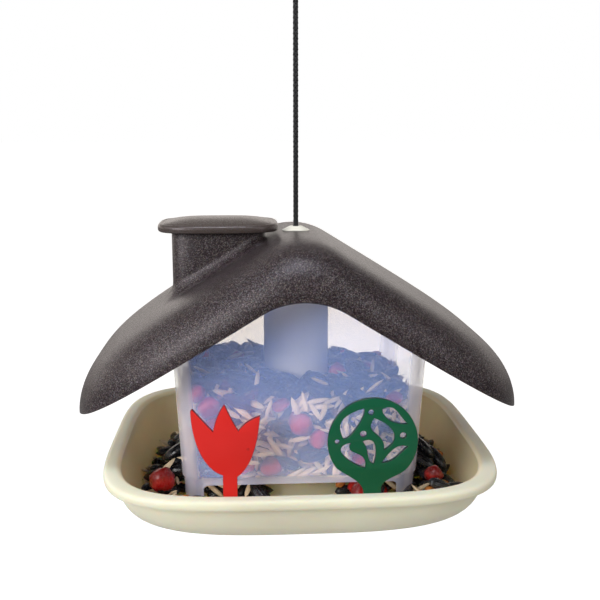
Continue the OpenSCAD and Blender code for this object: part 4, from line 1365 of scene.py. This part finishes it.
class FEEDER_OT_seed(Operator):
    """Fills the hopper and the tray with sunflower seed, oats, berries and cracked corn"""
    bl_idname = "feeder.seed"
    bl_label = "Pour in the seed"

    def execute(self, context):
        self.feeder = context.scene.feeder
        seed = self.feeder.seed
        # Each kind's slot, its two tones, roughness, stripes, relief and size of its wrinkles
        looks = {
            "sunflower": ("dark_seed", seed.hull, (0.035, 0.035, 0.038), 0.26, 5.0, 0.10, 1.2),
            "oat": ("pale_grain", scaled(seed.husk, 0.82), seed.husk, 0.55, 4.0, 0.12, 0.8),
            "berry": ("red_berry", scaled(seed.skin, 0.45), seed.skin, 0.3, 0.6, 0.5, 2.2),
            "corn": ("orange_corn", scaled(seed.kernel, 0.7), seed.kernel, 0.4, 1.5, 0.3, 2)}
        self.finishes = {kind: (look[0], seed_finish(*look)) for kind, look in looks.items()}
        draw = random.Random(seed.draw)
        for side, name in enumerate(("front", "right", "back", "left")):
            self.against_wall(draw, side, name)
        self.on_top(draw)
        self.core()
        self.in_tray(draw)
        return {"FINISHED"}

    def length_of(self, draw, kind):
        return getattr(self.feeder.seed, kind) * draw.uniform(0.84, 1.14)

    def pour(self, heap, draw, tries, mix_of, most, tilt):
        """Lets seeds fall one by one at random places."""
        (u0, v0), (u1, v1) = heap.low, (heap.u[-1, 0], heap.v[0, -1])
        for _ in range(tries):
            u, v = draw.uniform(u0, u1), draw.uniform(v0, v1)
            chances = mix_of(u, v)
            pick = draw.random() * sum(chances.values())
            for kind, chance in chances.items():
                pick -= chance
                if pick < 0:
                    break
            turn = draw.uniform(0, math.pi)
            heap.land(kind, u, v, self.length_of(draw, kind), turn, most, tilt)

    def lay(self, heap, seeds, tilt):
        """Lays the listed seeds, each in its own place."""
        for kind, u, v, turn, size in seeds:
            length = getattr(self.feeder.seed, kind) * size
            heap.land(kind, u * MM, v * MM, length, turn, tilt=tilt)

    def show(self, heap, name, draw, place_of, body):
        for kind, (slot, finish) in self.finishes.items():
            if any(seed[0] == kind for seed in heap.seeds):
                made = seed_mesh(f"{kind}_{name}", kind, heap, draw, place_of)
                wear(made, finish, body, slot)

    def against_wall(self, draw, side, name):
        """Seeds that lie against one wall, laid from the wall inwards."""
        hopper, fill = self.feeder.hopper, self.feeder.seed.fill
        half, other = hopper.depth / 2, hopper.width / 2
        if side % 2 == 1:
            half, other = other, half
        inner_r = hopper.corner - hopper.wall

        def ground(u, v):
            past = np.abs(u) - (other - hopper.corner)
            bend = inner_r - np.sqrt(np.maximum(inner_r ** 2 - np.clip(past, 0, inner_r) ** 2, 0))
            step = np.where(v < hopper.step_height + 1 * MM, hopper.step_in, 0)
            return bend + step + 0.35 * MM

        def allowed(u, v):
            lean = (v - HOPPER_FOOT) * hopper.draft
            across = (u, other, -u, -other)[side] / (hopper.width / 2)
            rise = fill - 5 * MM * across - (0, 6 * MM, 1 * MM, 2 * MM)[side]
            return ((v > hopper.slot_top + SEED_GAP) & (v < rise + 3 * MM)
                    & (np.abs(u) < other - hopper.wall - 3.5 * MM + lean))
        heap = Heap(draw, (-other, 8 * MM), (other, fill + 16 * MM), ground, allowed)
        full = fill - SEED_START

        def mixed(u, v):
            up = (v - SEED_START) / full
            if up > 0.88:
                return {"sunflower": 10, "berry": 0.8, "oat": 0.3}
            if up > 0.45:
                left = 1 if u < -22 * MM else 0
                return {"sunflower": 0.7 + 2.0 * left, "oat": 14 - 4 * left, "berry": 0.8, "corn": 0.3}
            return {"sunflower": 0.7, "oat": 15, "berry": 0.5, "corn": 0.6}
        area = 4 * other * full / (MM * MM)
        if side == 0:
            self.lay(heap, FRONT_SEEDS, 4)
        self.pour(heap, draw, int(area * 0.30), mixed, lambda u, v: 10 * MM, 9)
        cos, sin = (0, 1, 0, -1)[side], (-1, 0, 1, 0)[side]

        def place_of(local):
            u, v, deep = local[:, 0], local[:, 1], local[:, 2]
            out = half + (v - HOPPER_FOOT) * hopper.draft - hopper.wall - deep
            return np.stack([cos * out - sin * u, sin * out + cos * u, v - HANG], 1)
        self.show(heap, f"at_{name}", draw, place_of, "hopper_body")

    def on_top(self, draw):
        """The heap's open surface in the hopper, round the column."""
        hopper, fill = self.feeder.hopper, self.feeder.seed.fill
        half_w = hopper.width / 2 + fill * hopper.draft - hopper.wall
        half_d = hopper.depth / 2 + fill * hopper.draft - hopper.wall
        column = hopper.column / 2

        def ground(u, v):
            wave = 1.5 * MM * np.sin(u / (17 * MM) + 1) * np.cos(v / (13 * MM))
            slope = 5 * MM * np.clip(u / half_w - 0.4, 0, 1)
            return fill - 6.5 * MM + wave - 3 * MM * u / half_w - slope

        def allowed(u, v):
            return ((np.hypot(u, v) > column + 0.4 * MM)
                    & within(u, v, half_w - SEED_GAP, half_d - SEED_GAP)
                    & ~((np.abs(u) > half_w - 5 * MM) & (np.abs(v) > half_d - 5 * MM)))
        heap = Heap(draw, (-half_w, -half_d), (half_w, half_d), ground, allowed)
        self.pour(heap, draw, 1300, lambda u, v: {"sunflower": 10, "berry": 0.9, "oat": 0.5},
                  lambda u, v: fill + 3 * MM - (5 * u + 5 * max(0, u - 0.4 * half_w)) / half_w * MM,
                  14)
        self.show(heap, "on_top", draw, lambda local: local - (0, 0, HANG), "hopper_body")

    def core(self):
        """The dark middle of the heap, out of reach of the eye."""
        hopper, fill = self.feeder.hopper, self.feeder.seed.fill
        half = np.array([hopper.width / 2, hopper.depth / 2])
        levels = [(z * MM, z * MM, inset)
                  for z, inset in ((13, 24), (15.5, 12), (18, 8), (30, 6.5), (50, 6.5))]
        levels += [(fill, fill - 6.5 * MM, 6), (fill, fill - 5 * MM, 9)]
        rings = []
        for at, z, inset in levels:
            flat = hopper_outline(hopper, at, hopper.wall)
            rings.append(at_height(flat * (1 - inset * MM / half), z))
        heart = skin("heap_core", rings)
        draw = random.Random(3)
        for vert in heart.data.vertices:
            vert.co += Vector([draw.uniform(-1, 1) * MM for _ in range(3)])
        material, tree, shader, place = fresh("heap_shade")
        # Its near-black patches are painted shade between seeds deep in the heap, and its tan patches
        # are grain colour
        spots = noise(tree, place, 6 * MM, 4)
        feed(tree, shader, {
            "Base Color": ramp(tree, spots, (0.42, (0.015, 0.013, 0.013)),
                               (0.62, (0.30, 0.19, 0.11))),
            "Normal": bump(tree, spots, 1.5 * MM),
            "Roughness": 0.8})
        wear(heart, material, "hopper_body", "dark_seed")

    def in_tray(self, draw):
        """Seed spilled in the tray: a pile on each side, and a little at the front."""
        feeder = self.feeder
        tray, hopper = feeder.tray, feeder.hopper
        reach_x, reach_y = tray.width / 2 - 8 * MM, tray.depth / 2 - 8 * MM
        floor = np.vectorize(lambda x, y: bowl_floor(tray, x, y))
        mound = FEEDER_OT_tray.mound_line(None, tray, hopper.column, 0)[::-1]

        def ground(u, v):
            rise = np.interp(np.hypot(u, v), [p[0] for p in mound], [p[1] for p in mound])
            return np.maximum(floor(u, v), rise) + 0.15 * MM
        half_w, half_d, foot = hopper.width / 2, hopper.depth / 2, hopper.step_in - 0.6 * MM

        def allowed(u, v):
            inside = (np.abs(u) / (tray.width / 2 - 9 * MM)) ** RIM_SQUARE \
                + (np.abs(v) / (tray.depth / 2 - 9 * MM)) ** RIM_SQUARE < 1
            in_hopper = within(u, v, half_w + SEED_GAP, half_d + SEED_GAP)
            ring = in_hopper & ~within(u, v, half_w - 4 * MM - foot, half_d - 4 * MM - foot)
            gate = ring & ((np.abs(u) < hopper.slot_width / 2 - 3 * MM)
                           | (np.abs(v) < hopper.side_slot_width / 2 - 3 * MM))
            orn = feeder.ornaments
            y = orn.inset - tray.depth / 2
            sockets = (np.abs(v - y) < 5 * MM) & ((np.abs(u + orn.tulip_offset) < 8 * MM)
                                                  | (np.abs(u - orn.tree_offset) < 8.5 * MM))
            return inside & (~ring | gate) & ~sockets & (~in_hopper | (np.hypot(u, v) > 24 * MM))
        heap = Heap(draw, (-reach_x, -reach_y), (reach_x, reach_y), ground, allowed)

        def pile(u, v):
            """How high the seed may lie over the tray's underside."""
            side = abs(u) - 60 * MM
            if side < -2 * MM:
                if abs(v) < 45 * MM and abs(u) > 22 * MM:
                    return 14 * MM
                return 11 * MM if v > 45 * MM else 0
            hump = math.exp(-(max(0, side) / (21 * MM)) ** 2) * math.exp(-(v / (56 * MM)) ** 4)
            return tray.wall + (21 * MM if u < 0 else 25 * MM) * hump + 2 * MM
        self.pour(heap, draw, 5200,
                  lambda u, v: {"sunflower": 10, "oat": 3.4, "berry": 1.3, "corn": 1.7}, pile, 18)
        for kind, u, v, turn in LOOSE_SEEDS:
            heap.land(kind, u * MM, v * MM, self.length_of(draw, kind), turn)
        self.lay(heap, PILE_SEEDS, 6)
        self.show(heap, "in_tray", draw, lambda local: local - (0, 0, HANG), "tray_body")


class FEEDER_PT_panel(Panel):
    """Lists the feeder's sizes and the makers of its pieces"""
    bl_idname = "FEEDER_PT_panel"
    bl_label = "Seed feeder"
    bl_space_type = "VIEW_3D"
    bl_region_type = "UI"
    bl_category = "Feeder"

    def draw(self, context):
        for maker in MAKERS:
            self.layout.operator(maker.bl_idname)
        for name in GROUPS:
            box = self.layout.box()
            box.label(text=name.capitalize())
            group = getattr(context.scene.feeder, name)
            for key in group.bl_rna.properties.keys():
                if key not in ("rna_type", "name"):
                    box.prop(group, key)


MAKERS = (FEEDER_OT_stage, FEEDER_OT_rope, FEEDER_OT_tray, FEEDER_OT_roof, FEEDER_OT_lid,
          FEEDER_OT_hopper, FEEDER_OT_tulip, FEEDER_OT_tree, FEEDER_OT_seed)
CLASSES = (*GROUPS.values(), FeederSettings, *MAKERS, FEEDER_PT_panel)


def register():
    for each in CLASSES:
        bpy.utils.register_class(each)
    bpy.types.Scene.feeder = PointerProperty(type=FeederSettings)


def unregister():
    del bpy.types.Scene.feeder
    for each in reversed(CLASSES):
        bpy.utils.unregister_class(each)


def main():
    register()
    for maker in MAKERS:
        area, name = maker.bl_idname.split(".")
        getattr(getattr(bpy.ops, area), name)()


if __name__ == "__main__":
    main()
